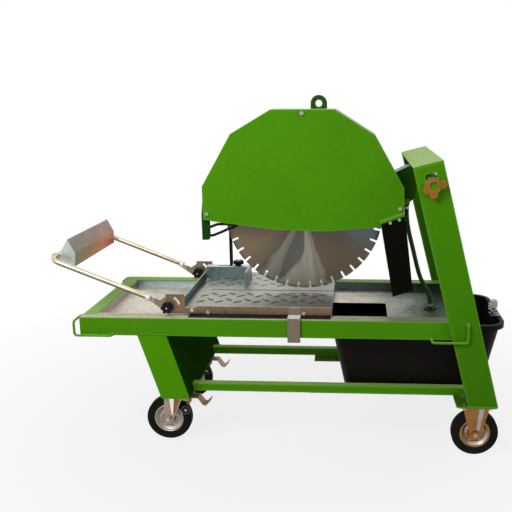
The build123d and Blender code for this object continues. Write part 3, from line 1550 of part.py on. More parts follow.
# Water hose from the pump's nipple up to the elbow on the guard
hose_line = [(elbow_x, elbow_z), (elbow_x, elbow_z - 57), (elbow_x + 13, elbow_z - 127),
             (elbow_x + 33, elbow_z - 200), (pump_x - 67, nipple_top + 176), (pump_x - 45, nipple_top + 104),
             (pump_x, nipple_top + 40), (pump_x, tray_top + pump_collar_wall + 1)]
hose_points = [(x, blade_y, z) for x, z in hose_line]
hose_radii = []
for (x0, z0), (x1, z1), (x2, z2) in zip(hose_line, hose_line[1:], hose_line[2:]):
    run_in = hypot(x1 - x0, z1 - z0)
    run_out = hypot(x2 - x1, z2 - z1)
    straight = ((x1 - x0) * (x2 - x1) + (z1 - z0) * (z2 - z1)) / (run_in * run_out)
    half_turn = acos(min(1.0, straight)) / 2
    hose_radii.append(0.45 * min(run_in, run_out) / tan(half_turn))
with BuildPart() as water_hose:
    with BuildLine() as hose_path:
        FilletPolyline(*hose_points, radius=hose_radii)
    with BuildSketch(Plane(hose_path.line @ 0, z_dir=hose_path.line % 0)):
        Circle(hose_radius)
        Circle(nipple_radius + running_gap, mode=Mode.SUBTRACT)
    sweep(path=hose_path.line)
made["water_hose"] = water_hose.part

for name, piece in made.items():
    piece.label = name
    export_step(piece, "parts/" + name + ".step")
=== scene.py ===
import math
import bmesh
import bpy
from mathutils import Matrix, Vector


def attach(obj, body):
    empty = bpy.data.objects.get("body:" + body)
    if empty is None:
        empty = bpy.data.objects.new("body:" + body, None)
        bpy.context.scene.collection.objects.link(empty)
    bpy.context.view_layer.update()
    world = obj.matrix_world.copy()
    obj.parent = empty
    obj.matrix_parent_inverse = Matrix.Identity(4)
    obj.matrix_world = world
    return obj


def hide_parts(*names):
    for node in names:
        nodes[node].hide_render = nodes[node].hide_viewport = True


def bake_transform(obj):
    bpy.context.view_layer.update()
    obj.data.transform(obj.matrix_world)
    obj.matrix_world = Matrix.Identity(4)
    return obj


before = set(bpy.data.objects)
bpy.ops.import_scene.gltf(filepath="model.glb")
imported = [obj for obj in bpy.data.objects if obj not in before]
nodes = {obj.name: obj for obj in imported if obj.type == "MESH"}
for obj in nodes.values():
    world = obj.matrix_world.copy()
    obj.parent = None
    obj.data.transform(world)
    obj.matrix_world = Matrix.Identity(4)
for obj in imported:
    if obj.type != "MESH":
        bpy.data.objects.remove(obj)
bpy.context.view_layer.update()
scene = bpy.context.scene
scene.view_settings.view_transform = "Standard"


class Finish:
    """A procedural material under construction: one shader and the textures that feed it."""

    def __init__(self, name, metallic=0.0, specular=0.5):
        self.material = bpy.data.materials.new(name)
        self.material.use_nodes = True
        self.tree = self.material.node_tree
        self.shader = self.tree.nodes["Principled BSDF"]
        self.shader.inputs["Metallic"].default_value = metallic
        self.shader.inputs["Specular IOR Level"].default_value = specular
        self.spot = self.add("ShaderNodeTexCoord")
        self.place = self.spot.outputs["Object"]

    def add(self, kind, **inputs):
        """A node with some of its inputs set or linked."""
        node = self.tree.nodes.new(kind)
        for key, value in inputs.items():
            self.feed(node.inputs[key], value)
        return node

    def feed(self, socket, value):
        if isinstance(value, bpy.types.NodeSocket):
            self.tree.links.new(value, socket)
        else:
            socket.default_value = value

    def stretched(self, scale):
        return self.add("ShaderNodeMapping", Vector=self.place, Scale=scale).outputs["Vector"]

    def noise(self, scale, detail=3.0, rough=0.55, stretch=None):
        where = self.stretched(stretch) if stretch else self.place
        node = self.add("ShaderNodeTexNoise", Vector=where, Scale=scale, Detail=detail, Roughness=rough)
        return node.outputs["Fac"]

    def cells(self, scale, output):
        return self.add("ShaderNodeTexVoronoi", Vector=self.place, Scale=scale).outputs[output]

    def math(self, operation, first, second=0.0):
        node = self.add("ShaderNodeMath")
        node.operation = operation
        self.feed(node.inputs[0], first)
        self.feed(node.inputs[1], second)
        return node.outputs["Value"]

    def dot(self, first, second):
        node = self.add("ShaderNodeVectorMath")
        node.operation = "DOT_PRODUCT"
        self.feed(node.inputs[0], first)
        self.feed(node.inputs[1], second)
        return node.outputs["Value"]

    def span(self, value, low, high, out_low=0.0, out_high=1.0):
        node = self.add("ShaderNodeMapRange", Value=value)
        node.inputs["From Min"].default_value = low
        node.inputs["From Max"].default_value = high
        node.inputs["To Min"].default_value = out_low
        node.inputs["To Max"].default_value = out_high
        return node.outputs["Result"]

    def ramp(self, factor, *stops):
        node = self.add("ShaderNodeValToRGB", Fac=factor)
        bar = node.color_ramp.elements
        while len(bar) < len(stops):
            bar.new(0.5)
        for element, (at, colour) in zip(bar, stops):
            element.position = at
            element.color = (*colour, 1.0)
        return node.outputs["Color"]

    def mix(self, factor, first, second):
        node = self.add("ShaderNodeMix")
        node.data_type = "RGBA"
        self.feed(node.inputs["Factor"], factor)
        self.feed(node.inputs[6], first)
        self.feed(node.inputs[7], second)
        return node.outputs[2]

    def at(self, axis):
        return self.add("ShaderNodeSeparateXYZ", Vector=self.place).outputs[axis]

    def ragged_x(self):
        """The place along X with some drift, so that a patch gets a ragged border."""
        drift = self.span(self.noise(7.0, 4.0, 0.6), 0.3, 0.7, -0.08, 0.08)
        return self.math("ADD", self.at("X"), drift)

    def faces(self, axis, low, high):
        """1 on faces of the piece that look along the axis, 0 on the others."""
        side = self.add("ShaderNodeSeparateXYZ", Vector=self.spot.outputs["Normal"]).outputs[axis]
        return self.span(side, low, high)

    def either(self, axis, low, high):
        """1 on faces of the piece that look along the axis one way or the other, 0 on the rest."""
        return self.math("MAXIMUM", self.faces(axis, low, high), self.faces(axis, -low, -high))

    def leans(self, direction, low, high):
        """Rises from 0 to 1 as the piece's faces turn from one share of the direction to the other."""
        return self.span(self.dot(self.spot.outputs["Normal"], direction), low, high)

    def rounded(self, radius):
        node = self.add("ShaderNodeBevel", Radius=radius)
        node.samples = 4
        return node.outputs["Normal"]

    def edges(self, normal, spread=0.25):
        """Rises from 0 to 1 where a rounded normal turns away from the face's own."""
        flat = 0.99
        own = self.add("ShaderNodeNewGeometry").outputs["Normal"]
        return self.span(self.dot(own, normal), flat, flat - spread)

    def bump(self, height, strength, depth, normal=None):
        node = self.add("ShaderNodeBump", Height=height, Strength=strength, Distance=depth)
        if normal is not None:
            self.feed(node.inputs["Normal"], normal)
        return node.outputs["Normal"]

    def finish(self, colour, rough, normal, **constants):
        self.feed(self.shader.inputs["Base Color"], colour)
        self.feed(self.shader.inputs["Roughness"], rough)
        self.feed(self.shader.inputs["Normal"], normal)
        for key, value in constants.items():
            self.feed(self.shader.inputs[key], value)
        return self.material


def shade(colour, factor):
    """The colour made darker or lighter."""
    return tuple(min(1.0, channel * factor) for channel in colour)


def paint(name, colour, rough=0.46, worn_edge_glint=(0.20, 0.42, 0.10), top=None, bare=None, shaded_inner=None, low_shade=0.86,
          specular=0.05, fold_light=None):
    """Powder coat with painted shade towards the floor, rubbed edges that also carry a painted highlight,
    and painted light on folds; tops mostly take painted light, inner faces painted shade, and tracks their
    own bare tone.
    """
    f = Finish(name, specular=specular)
    wide = f.noise(2.6, 2.0)
    fine = f.noise(38.0, 4.0, 0.6)
    tone = f.math("ADD", f.math("MULTIPLY", wide, 0.6), f.math("MULTIPLY", fine, 0.4))
    base = f.ramp(tone, (0.30, shade(colour, 0.88)), (0.50, colour), (0.72, shade(colour, 1.12)))
    # Painted shade: the paint grows darker towards the floor, down to low_shade at the bottom.
    low = f.math("MULTIPLY", f.span(f.at("Z"), 1.15, 0.15), f.span(f.noise(4.0, 3.0), 0.2, 0.7, 0.7, 1.0))
    base = f.mix(low, base, (*shade(colour, low_shade), 1.0))
    # Up-facing faces take the top tone: painted light on most paints, a painted highlight on the tip clips,
    # painted shade on the portal, and on the arm a grey top read as bare steel.
    if top:
        upper = f.ramp(tone, (0.3, shade(top, 0.88)), (0.7, shade(top, 1.1)))
        base = f.mix(f.faces("Z", 0.60, 0.90), base, upper)
    # Painted shade on faces that look along +X: the shaded inside of the left leg.
    if shaded_inner:
        base = f.mix(f.faces("X", 0.50, 0.80), base, (*shaded_inner, 1.0))
    normal = f.rounded(0.0022)
    # Edges, picked out by noise, take the worn tone: rubbed paint, and also a painted highlight where the
    # edges catch light.
    edge = f.math("MULTIPLY", f.edges(normal), f.span(f.noise(55.0, 5.0, 0.7), 0.40, 0.70))
    rub = f.span(f.noise(21.0, 6.0, 0.75), 0.69, 0.74, 0.0, 0.30)
    base = f.mix(rub, base, (*shade(colour, 0.70), 1.0))
    base = f.mix(f.math("MULTIPLY", edge, 0.70), base, (*worn_edge_glint, 1.0))
    if bare:
        rolled = f.ramp(fine, (0.3, shade(bare, 0.80)), (0.7, shade(bare, 1.1)))
        track = f.mix(f.span(f.ragged_x(), 0.18, 0.50), rolled, (*shade(bare, 0.30), 1.0))
        base = f.mix(f.faces("Z", 0.55, 0.80), base, track)
    # Painted light along folds: a paler line on most paints, a slightly darker one on the leg.
    if fold_light:
        base = f.mix(f.math("MULTIPLY", f.edges(f.rounded(0.0085), 0.14), 0.80), base, (*fold_light, 1.0))
    gloss = f.span(fine, 0.3, 0.75, rough - 0.07, rough + 0.10)
    peel = f.noise(620.0, 1.0)
    return f.finish(base, gloss, f.bump(peel, 0.10, 0.0006, normal))


def galvanised(name, colour, across=None, along=None, rough=0.40, spangle=70.0, radius=0.0012, painted_x_shade=None,
               x_shade_on_walls=False):
    """Zinc spangle; faces that look along X or Y may take painted shade and reflection, painted shade may
    spread along X, and edges take a painted highlight.
    """
    f = Finish(name, metallic=0.72, specular=0.3)
    cell = f.add("ShaderNodeSeparateColor", Color=f.cells(spangle, "Color")).outputs["Red"]
    wide = f.noise(5.0, 3.0)
    streak = f.noise(30.0, 4.0, 0.6, (0.25, 1.0, 1.0))
    tone = f.math("ADD", f.math("MULTIPLY", cell, 0.34),
                  f.math("ADD", f.math("MULTIPLY", wide, 0.38), f.math("MULTIPLY", streak, 0.28)))

    def spangled(hue):
        return f.ramp(tone, (0.26, shade(hue, 0.76)), (0.50, hue), (0.76, shade(hue, 1.18)))

    # Painted shade that spreads along X over the given span.
    def x_shaded(under):
        low, high, hue = painted_x_shade
        return f.mix(f.span(f.ragged_x(), low, high), under, spangled(hue))

    base = spangled(colour)
    if painted_x_shade and not x_shade_on_walls:
        base = x_shaded(base)
    # Faces along X or Y take their tones as painted shade and painted reflection, not as a different zinc.
    if across:
        base = f.mix(f.either("X", 0.55, 0.80), base, spangled(across))
    if along:
        base = f.mix(f.either("Y", 0.55, 0.80), base, spangled(along))
    if painted_x_shade and x_shade_on_walls:
        base = x_shaded(base)
    normal = f.rounded(radius)
    # Painted highlight along edges.
    base = f.mix(f.math("MULTIPLY", f.edges(normal), 0.70), base, (0.80, 0.79, 0.76, 1.0))
    gloss = f.span(tone, 0.3, 0.7, rough - 0.10, rough + 0.12)
    scratch = f.noise(240.0, 3.0, 0.6, (0.06, 1.0, 1.0))
    return f.finish(base, gloss, f.bump(scratch, 0.12, 0.0004, normal))


def plated(name, colour, warm, rough=0.32, radius=0.0010, under=None, turned=(0.30, -0.25),
           lit=(0.0, 0.0, 1.0), bright=1.5, lug=None, rubber_part=None):
    """Cloudy zinc or chromate plate with a painted highlight on its edges; faces turned from the lit side
    may take painted shade, and a lug or a rubber part may differ.
    """
    f = Finish(name, metallic=0.85, specular=0.3)
    haze = f.noise(16.0, 4.0, 0.6)
    base = f.ramp(haze, (0.30, warm), (0.50, colour), (0.70, shade(colour, 1.10)))
    # Painted light: faces turned from the lit direction take the under tone as painted shade.
    if under:
        base = f.mix(f.leans(lit, *turned), base, (*under, 1.0))
    normal = f.rounded(radius)
    # Painted highlight: edges take the colour made brighter by bright.
    base = f.mix(f.math("MULTIPLY", f.edges(normal), 0.60), base, (*shade(colour, bright), 1.0))
    if lug:
        start, hue = lug
        cloudy = f.ramp(haze, (0.3, shade(hue, 0.8)), (0.7, shade(hue, 1.2)))
        base = f.mix(f.math("GREATER_THAN", f.at("X"), start), base, cloudy)
    if rubber_part:
        end_x, end_z = rubber_part
        block = f.math("MULTIPLY", f.math("LESS_THAN", f.at("X"), end_x),
                       f.math("LESS_THAN", f.at("Z"), end_z))
        base = f.mix(block, base, (0.012, 0.012, 0.012, 1.0))
    gloss = f.span(haze, 0.3, 0.7, rough - 0.08, rough + 0.12)
    fine = f.noise(180.0, 3.0)
    return f.finish(base, gloss, f.bump(fine, 0.08, 0.0004, normal))


def moulded(name, colour, rough=0.48, grain=420.0, depth=0.0005, radius=0.0015, dust=(0.060, 0.052, 0.044),
            specular=0.10):
    """Grained plastic with settled dust and paler edges."""
    f = Finish(name, specular=specular)
    wide = f.noise(6.0, 3.0)
    skin = f.noise(grain, 2.0)
    base = f.ramp(wide, (0.32, shade(colour, 0.75)), (0.52, colour), (0.74, shade(colour, 1.4)))
    normal = f.rounded(radius)
    settle = f.span(f.noise(14.0, 6.0, 0.72), 0.58, 0.82, 0.0, 0.22)
    base = f.mix(settle, base, (*dust, 1.0))
    # Paler edges in a dust tone: dust and a painted highlight in one.
    base = f.mix(f.math("MULTIPLY", f.edges(normal), 0.45), base, (*shade(dust, 1.1), 1.0))
    gloss = f.span(skin, 0.3, 0.7, rough - 0.06, rough + 0.10)
    return f.finish(base, gloss, f.bump(skin, 0.30, depth, normal))


def rubber(name, colour, rough=0.74, edge=5.0, specular=0.10):
    """Matt rubber with paler edges, scuffed and with a painted highlight."""
    f = Finish(name, specular=specular)
    wide = f.noise(9.0, 4.0, 0.6)
    fine = f.noise(300.0, 3.0)
    base = f.ramp(wide, (0.30, shade(colour, 0.7)), (0.52, colour), (0.78, shade(colour, 1.8)))
    normal = f.rounded(0.0015)
    # Paler edges: scuffing and a painted highlight.
    base = f.mix(f.math("MULTIPLY", f.edges(normal), 0.40), base, (*shade(colour, edge), 1.0))
    gloss = f.span(wide, 0.3, 0.7, rough - 0.08, rough + 0.12)
    return f.finish(base, gloss, f.bump(fine, 0.25, 0.0005, normal))


def brushed_blade(middle_x, middle_z):
    """Ground steel disc: fine rings and flecks, sectors lighter and darker as a painted reflection of its
    sheen, and a slanted painted highlight.
    """
    f = Finish("blade_steel", metallic=0.80, specular=0.3)
    across = f.math("SUBTRACT", f.at("X"), middle_x)
    down = f.math("SUBTRACT", middle_z, f.at("Z"))
    reach = f.math("SQRT", f.math("ADD", f.math("MULTIPLY", across, across), f.math("MULTIPLY", down, down)))
    turn = f.math("ARCTAN2", across, down)

    def polar_noise(scale, turn_scale, reach_scale):
        where = f.add("ShaderNodeCombineXYZ", X=f.math("MULTIPLY", turn, turn_scale),
                      Y=f.math("MULTIPLY", reach, reach_scale)).outputs["Vector"]
        node = f.add("ShaderNodeTexNoise", Vector=where, Scale=scale, Detail=3.0, Roughness=0.6)
        return node.outputs["Fac"]

    drift = polar_noise(2.2, 3.0, 4.0)
    lines = polar_noise(1.6, 0.9, 260.0)
    half = f.math("FRACT", f.math("ADD", f.math("DIVIDE", turn, math.pi), 0.5))
    sector = f.math("ADD", half, f.span(drift, 0.3, 0.7, -0.012, 0.012))
    # Painted reflection: sectors lighter and darker around the centre stand in for the disc's sheen.
    painted_sheen = f.ramp(
        sector, (0.00, (0.150, 0.112, 0.072)), (0.20, (0.165, 0.120, 0.072)), (0.28, (0.120, 0.094, 0.064)),
        (0.300, (0.088, 0.078, 0.064)), (0.322, (0.215, 0.200, 0.164)), (0.372, (0.170, 0.157, 0.130)),
        (0.385, (0.088, 0.084, 0.078)), (0.500, (0.105, 0.102, 0.096)), (0.516, (0.290, 0.270, 0.222)),
        (0.540, (0.310, 0.288, 0.235)), (0.570, (0.195, 0.170, 0.132)), (0.592, (0.235, 0.210, 0.168)),
        (0.605, (0.118, 0.084, 0.052)), (0.74, (0.104, 0.076, 0.050)), (0.83, (0.098, 0.084, 0.066)),
        (0.87, (0.108, 0.128, 0.138)), (0.96, (0.128, 0.148, 0.155)), (1.00, (0.140, 0.120, 0.088)))
    # Painted highlight: a slanted gleam in the pale tone.
    slant = f.math("ADD", sector, f.math("MULTIPLY", f.math("SUBTRACT", reach, 0.174), 0.80))
    gleam = f.math("MULTIPLY", f.span(slant, 0.502, 0.524), f.math("LESS_THAN", sector, 0.525))
    pale = f.ramp(drift, (0.3, (0.240, 0.224, 0.184)), (0.7, (0.310, 0.290, 0.238)))
    painted_sheen = f.mix(gleam, painted_sheen, pale)
    fleck = f.span(f.noise(420.0, 4.0, 0.7), 0.3, 0.7, 0.0, 0.30)
    painted_sheen = f.mix(f.math("MULTIPLY", fleck, lines), painted_sheen, (0.32, 0.30, 0.26, 1.0))
    tangent = f.add("ShaderNodeTangent")
    tangent.direction_type = "RADIAL"
    tangent.axis = "Y"
    gloss = f.span(lines, 0.3, 0.7, 0.34, 0.48)
    return f.finish(painted_sheen, gloss, f.bump(lines, 0.10, 0.0003), Anisotropic=0.6,
                    Tangent=tangent.outputs["Tangent"])


def grit():
    """Sintered segments with diamond grains."""
    f = Finish("diamond_segments", metallic=0.45, specular=0.2)
    grains = f.cells(900.0, "Distance")
    wide = f.noise(40.0, 4.0)
    base = f.ramp(wide, (0.3, (0.085, 0.068, 0.050)), (0.52, (0.150, 0.126, 0.096)),
                  (0.75, (0.23, 0.20, 0.16)))
    return f.finish(base, f.span(wide, 0.3, 0.7, 0.50, 0.75), f.bump(grains, 0.5, 0.0006, f.rounded(0.0006)))


def braided(name, colour, fleck):
    """Hose cover with a woven grain."""
    f = Finish(name, specular=0.15)
    grain = f.cells(330.0, "Distance")
    wide = f.noise(18.0, 3.0)
    base = f.ramp(wide, (0.32, shade(colour, 0.65)), (0.5, colour), (0.72, shade(colour, 1.6)))
    base = f.mix(f.span(grain, 0.34, 0.50, 0.0, 0.35), base, (*fleck, 1.0))
    return f.finish(base, f.span(wide, 0.3, 0.7, 0.40, 0.60), f.bump(grain, 0.30, 0.0008))


def hood_sheet():
    """Sheet over the grip: top from grey to warm; pale ends and a lip from yellow to red as painted light
    and reflection on faces by their facing; edges with a painted highlight.
    """
    f = Finish("hood_sheet", metallic=0.70, specular=0.3)
    wide = f.noise(9.0, 4.0, 0.6)
    streak = f.noise(40.0, 4.0, 0.6, (1.0, 0.15, 1.0))
    tone = f.math("ADD", f.math("MULTIPLY", wide, 0.5), f.math("MULTIPLY", streak, 0.5))
    warm = f.ramp(tone, (0.3, (0.23, 0.142, 0.105)), (0.5, (0.29, 0.185, 0.138)),
                  (0.7, (0.36, 0.245, 0.190)))
    grey = f.ramp(tone, (0.3, (0.150, 0.138, 0.104)), (0.5, (0.195, 0.180, 0.138)),
                  (0.7, (0.25, 0.235, 0.185)))
    top = f.mix(f.span(f.at("Y"), -0.16, 0.10), grey, warm)
    end = f.ramp(tone, (0.3, (0.42, 0.47, 0.46)), (0.7, (0.60, 0.64, 0.62)))
    lip = f.ramp(f.span(f.at("Y"), -0.22, 0.24), (0.0, (0.21, 0.195, 0.060)), (0.35, (0.30, 0.160, 0.045)),
                 (0.70, (0.54, 0.165, 0.040)), (1.0, (0.46, 0.080, 0.018)))
    # Painted light and reflection: faces by their facing take the yellow-to-red lip tone and the pale end
    # tone.
    base = f.mix(f.faces("X", 0.93, 0.99), top, lip)
    base = f.mix(f.either("Y", 0.6, 0.9), base, end)
    normal = f.rounded(0.0014)
    # Painted highlight along edges.
    base = f.mix(f.math("MULTIPLY", f.edges(normal), 0.6), base, (0.62, 0.58, 0.50, 1.0))
    return f.finish(base, f.span(tone, 0.3, 0.7, 0.30, 0.46), f.bump(streak, 0.12, 0.0004, normal))


# Materials, by the names that the pieces use
lime = (0.072, 0.274, 0.0032)
fold_highlight_lime = (0.165, 0.450, 0.032)
# Direction of the painted light on the wheel dishes.
from_right = (-0.62, 0.0, 0.78)
blade_x, blade_z = 0.093, 1.007
paints = {
    # The leg, portal and cap paints are the same lime made lighter or darker as painted light and shade.
    "green": paint("green_paint", lime, top=(0.235, 0.400, 0.090), fold_light=fold_highlight_lime),
    "leg": paint("leg_paint", shade(lime, 1.15), shaded_inner=(0.0120, 0.052, 0.0026), specular=0.0, fold_light=lime),
    "portal": paint("portal_paint", (0.066, 0.266, 0.0021), top=(0.036, 0.140, 0.0030), low_shade=0.60,
                    fold_light=fold_highlight_lime),
    "cap": paint("cap_paint", (0.058, 0.236, 0.0018), top=(0.215, 0.385, 0.030), fold_light=fold_highlight_lime),
    "rail": paint("rail_paint", lime, bare=(0.56, 0.49, 0.38), fold_light=fold_highlight_lime),
    # Painted shade: the arm's paint is the green made dark as the arm lies in shade; its grey top is read as
    # bare steel.
    "dark_green": paint("shaded_green_paint", (0.020, 0.086, 0.004), rough=0.48, worn_edge_glint=(0.10, 0.24, 0.05),
                        top=(0.46, 0.45, 0.47)),
    "bracket": paint("bracket_paint", (0.010, 0.046, 0.006), rough=0.50, worn_edge_glint=(0.05, 0.14, 0.03)),
    # Tip clips: the brown is the same painted reflection as on the deck's front flange, the white top a
    # painted highlight.
    "hook": paint("hook_zinc", (0.205, 0.160, 0.112), rough=0.34, worn_edge_glint=(0.66, 0.65, 0.62),
                  top=(0.82, 0.82, 0.80), specular=0.4),
    "motor": paint("motor_grey", (0.15, 0.165, 0.17), worn_edge_glint=(0.36, 0.36, 0.34)),
    "cowl": paint("cowl_grey", (0.085, 0.095, 0.098), rough=0.48, worn_edge_glint=(0.30, 0.30, 0.29)),
    # Deck: its brown front flange and blue-grey ends are painted reflection and shade, it darkens along X as
    # painted shade, and the wide radius spreads its painted edge highlight.
    "sheet": galvanised("galvanised_sheet", (0.365, 0.368, 0.302), across=(0.125, 0.190, 0.200),
                        along=(0.200, 0.136, 0.076), radius=0.0030,
                        painted_x_shade=(-0.16, 0.16, (0.195, 0.188, 0.160))),
    # Angle stop: its darker blue-grey sides are painted shade and reflection.
    "stop": galvanised("galvanised_stop", (0.52, 0.51, 0.46), across=(0.120, 0.165, 0.160),
                       along=(0.155, 0.225, 0.235)),
    # Tray: it darkens along X into painted shade with a green painted reflection of the portal, walls too;
    # end walls take painted shade, side walls a bluish painted reflection.
    "tray": galvanised("galvanised_tray", (0.68, 0.635, 0.530), across=(0.34, 0.30, 0.25),
                       along=(0.36, 0.45, 0.52), rough=0.44, spangle=55.0,
                       painted_x_shade=(0.05, 0.60, (0.034, 0.060, 0.036)), x_shade_on_walls=True),
    "clip": galvanised("clip_zinc", (0.070, 0.115, 0.135), rough=0.34, spangle=120.0),
    # The tread bars' dark blue-grey is a painted reflection on the deck's zinc.
    "tread": galvanised("tread_bars", (0.050, 0.100, 0.125), rough=0.34, spangle=160.0, radius=0.0004),
    "bare": galvanised("bare_zinc", (0.66, 0.65, 0.62), rough=0.36, spangle=120.0),
    "hood": hood_sheet(),
    "fork": plated("fork_zinc", (0.340, 0.270, 0.215), (0.27, 0.19, 0.13)),
    # Painted highlight: the bright lit slope of the pressed ridge on swivel fork cheeks.
    "ridge": plated("fork_highlight", (0.86, 0.85, 0.80), (0.74, 0.70, 0.60), rough=0.24),
    "zinc": plated("yellow_chromate", (0.290, 0.128, 0.036), (0.23, 0.095, 0.024), rough=0.34, bright=2.4),
    # The handle tube's dark underside, on faces turned from above, is painted shade.
    "tube": plated("handle_zinc", (0.66, 0.57, 0.39), (0.58, 0.48, 0.30), rough=0.30,
                   under=(0.135, 0.138, 0.145), lug=(-0.5250, (0.230, 0.190, 0.140))),
    "bolt": plated("bolt_zinc", (0.46, 0.45, 0.42), (0.34, 0.31, 0.25), rough=0.34, radius=0.0005),
    "rod": plated("machined_steel", (0.42, 0.42, 0.42), (0.30, 0.29, 0.27), rough=0.28),
    "roller": plated("roller_steel", (0.40, 0.40, 0.40), (0.28, 0.26, 0.24), rough=0.34),
    "flange": plated("flange_steel", (0.36, 0.35, 0.34), (0.26, 0.24, 0.22), rough=0.36),
    "rim": plated("rim_bronze", (0.34, 0.20, 0.085), (0.26, 0.13, 0.045), bright=2.0),
    # Wheel dishes and rolled edges: silver where faces turn to the lit direction is a painted highlight, the
    # brown or tan on the rest painted shade.
    "dish": plated("dish_zinc", (0.54, 0.53, 0.50), (0.42, 0.36, 0.29), rough=0.34,
                   under=(0.250, 0.140, 0.062), turned=(0.62, 0.22), lit=from_right),
    "dish_pale": plated("dish_silver", (0.48, 0.51, 0.53), (0.38, 0.38, 0.37), rough=0.52,
                        under=(0.330, 0.262, 0.195), turned=(0.62, 0.10), lit=from_right),
    "edge_pale": plated("edge_silver", (0.60, 0.62, 0.63), (0.48, 0.44, 0.38), rough=0.44,
                        under=(0.250, 0.190, 0.130)),
    "lip": plated("rim_bright", (0.56, 0.54, 0.50), (0.44, 0.34, 0.22), rough=0.26),
    "pedal": plated("pedal_zinc", (0.36, 0.24, 0.12), (0.24, 0.14, 0.06), rough=0.38,
                    rubber_part=(-0.3965, 0.1925)),
    "cast": plated("cast_brown", (0.265, 0.126, 0.0190), (0.22, 0.105, 0.016), rough=0.52, radius=0.0024,
                   bright=1.7),
    "blade": brushed_blade(blade_x, blade_z),
    "grit": grit(),
    "tub": moulded("tub_plastic", (0.0052, 0.0042, 0.0027), rough=0.50, specular=0.07),
    "knob": moulded("knob_plastic", (0.0060, 0.0060, 0.0062), rough=0.42, grain=600.0, depth=0.0003,
                    radius=0.0010, dust=(0.05, 0.05, 0.05)),
    "pump": moulded("pump_plastic", (0.012, 0.012, 0.013), rough=0.50),
    "grey": moulded("switch_grey", (0.30, 0.31, 0.32), rough=0.44, dust=(0.36, 0.35, 0.32), specular=0.3),
    "red": moulded("inlet_red", (0.40, 0.020, 0.014), rough=0.40, dust=(0.42, 0.15, 0.11), specular=0.3),
    "start": moulded("start_green", (0.030, 0.26, 0.060), rough=0.36, dust=(0.16, 0.30, 0.18), specular=0.3),
    "halt": moulded("stop_red", (0.46, 0.016, 0.012), rough=0.36, dust=(0.44, 0.14, 0.10), specular=0.3),
    "flap": rubber("flap_rubber", (0.0040, 0.0044, 0.0024), specular=0.03),
    "tyre": rubber("tyre_rubber", (0.0062, 0.0058, 0.0052), rough=0.66, edge=6.0, specular=0.06),
    "sidewall": rubber("tyre_sidewall", (0.0150, 0.0165, 0.0185), rough=0.56, specular=0.08),
    "pipe": rubber("pipe_rubber", (0.0200, 0.0205, 0.0210), rough=0.50, edge=6.0),
    "hose": braided("hose_green", (0.0075, 0.036, 0.0060), (0.030, 0.085, 0.020)),
}

# The nodes of the model that each material covers
looks = {
    "green": "rear_rail end_rails lower_rails lashing_loops guard_front guard_shell pivot_rod",
    "leg": "left_leg",
    "portal": "portal_legs",
    "cap": "portal_cap",
    "rail": "front_rail",
    "dark_green": "head_arm",
    "bracket": "water_bracket",
    "tray": "water_tray",
    "sheet": "carriage_deck",
    "hook": "tip_clips",
    "stop": "angle_stop",
    "hood": "hand_hood",
    "fork": "caster_plates swivel_fork_front swivel_fork_rear",
    "zinc": "fixed_casters",
    "tube": "handle_frame",
    "bolt": "frame_bolts carriage_bolts",
    "rod": "motor_shaft arbor_nut",
    "flange": "blade_flanges guard_bolts",
    "roller": "roller_front_left roller_front_right roller_rear_left roller_rear_right",
    "rim": "rim_left_front rim_left_rear rim_right_front rim_right_rear",
    "tyre": "tyre_left_front tyre_left_rear tyre_right_front tyre_right_rear",
    "pedal": "brake_pedal_front brake_pedal_rear",
    "cast": "wing_nut",
    "blade": "blade_core",
    "grit": "blade_segments",
    "tub": "tub",
    "knob": "handle_knob_front handle_knob_rear stop_knob",
    "pump": "water_pump",
    "grey": "switch_box",
    "motor": "motor_housing",
    "cowl": "fan_cowl",
    "red": "power_inlet",
    "start": "start_button",
    "halt": "stop_button",
    "flap": "splash_flaps",
    "pipe": "water_pipes",
    "hose": "water_hose",
}
for key, names in looks.items():
    for name in names.split():
        nodes[name].data.materials.clear()
        nodes[name].data.materials.append(paints[key])


def piece(name, verts, faces, look, body=None, smooth=True):
    """A mesh with its look, riding on a body of the model if one is named."""
    mesh = bpy.data.meshes.new(name)
    mesh.from_pydata([tuple(v) for v in verts], [], faces)
    mesh.update()
    work = bmesh.new()
    work.from_mesh(mesh)
    bmesh.ops.recalc_face_normals(work, faces=work.faces)
    work.to_mesh(mesh)
    work.free()
    for polygon in mesh.polygons:
        polygon.use_smooth = smooth
    mesh.materials.append(paints[look])
    made = bpy.data.objects.new(name, mesh)
    scene.collection.objects.link(made)
    if body:
        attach(made, body)
    return made


def rounded_edges(made, width):
    """Rounds the sharp edges of a piece."""
    bevel = made.modifiers.new("rounding", "BEVEL")
    bevel.width = width
    bevel.segments = 2
    bevel.limit_method = "ANGLE"
    bevel.angle_limit = math.radians(40)


def spline_points(control):
    """Points along a smooth curve that starts and ends at the first and last control point."""
    curve = bpy.data.curves.new("route", "CURVE")
    curve.dimensions = "3D"
    line = curve.splines.new("NURBS")
    line.points.add(len(control) - 1)
    for point, place in zip(line.points, control):
        point.co = (*place, 1.0)
    line.order_u = 3
    line.use_endpoint_u = True
    curve.resolution_u = 14
    holder = bpy.data.objects.new("route", curve)
    scene.collection.objects.link(holder)
    bpy.context.view_layer.update()
    graph = bpy.context.evaluated_depsgraph_get()
    mesh = bpy.data.meshes.new_from_object(holder.evaluated_get(graph))
    points = [v.co.copy() for v in mesh.vertices]
    bpy.data.objects.remove(holder)
    bpy.data.curves.remove(curve)
    bpy.data.meshes.remove(mesh)
    return points


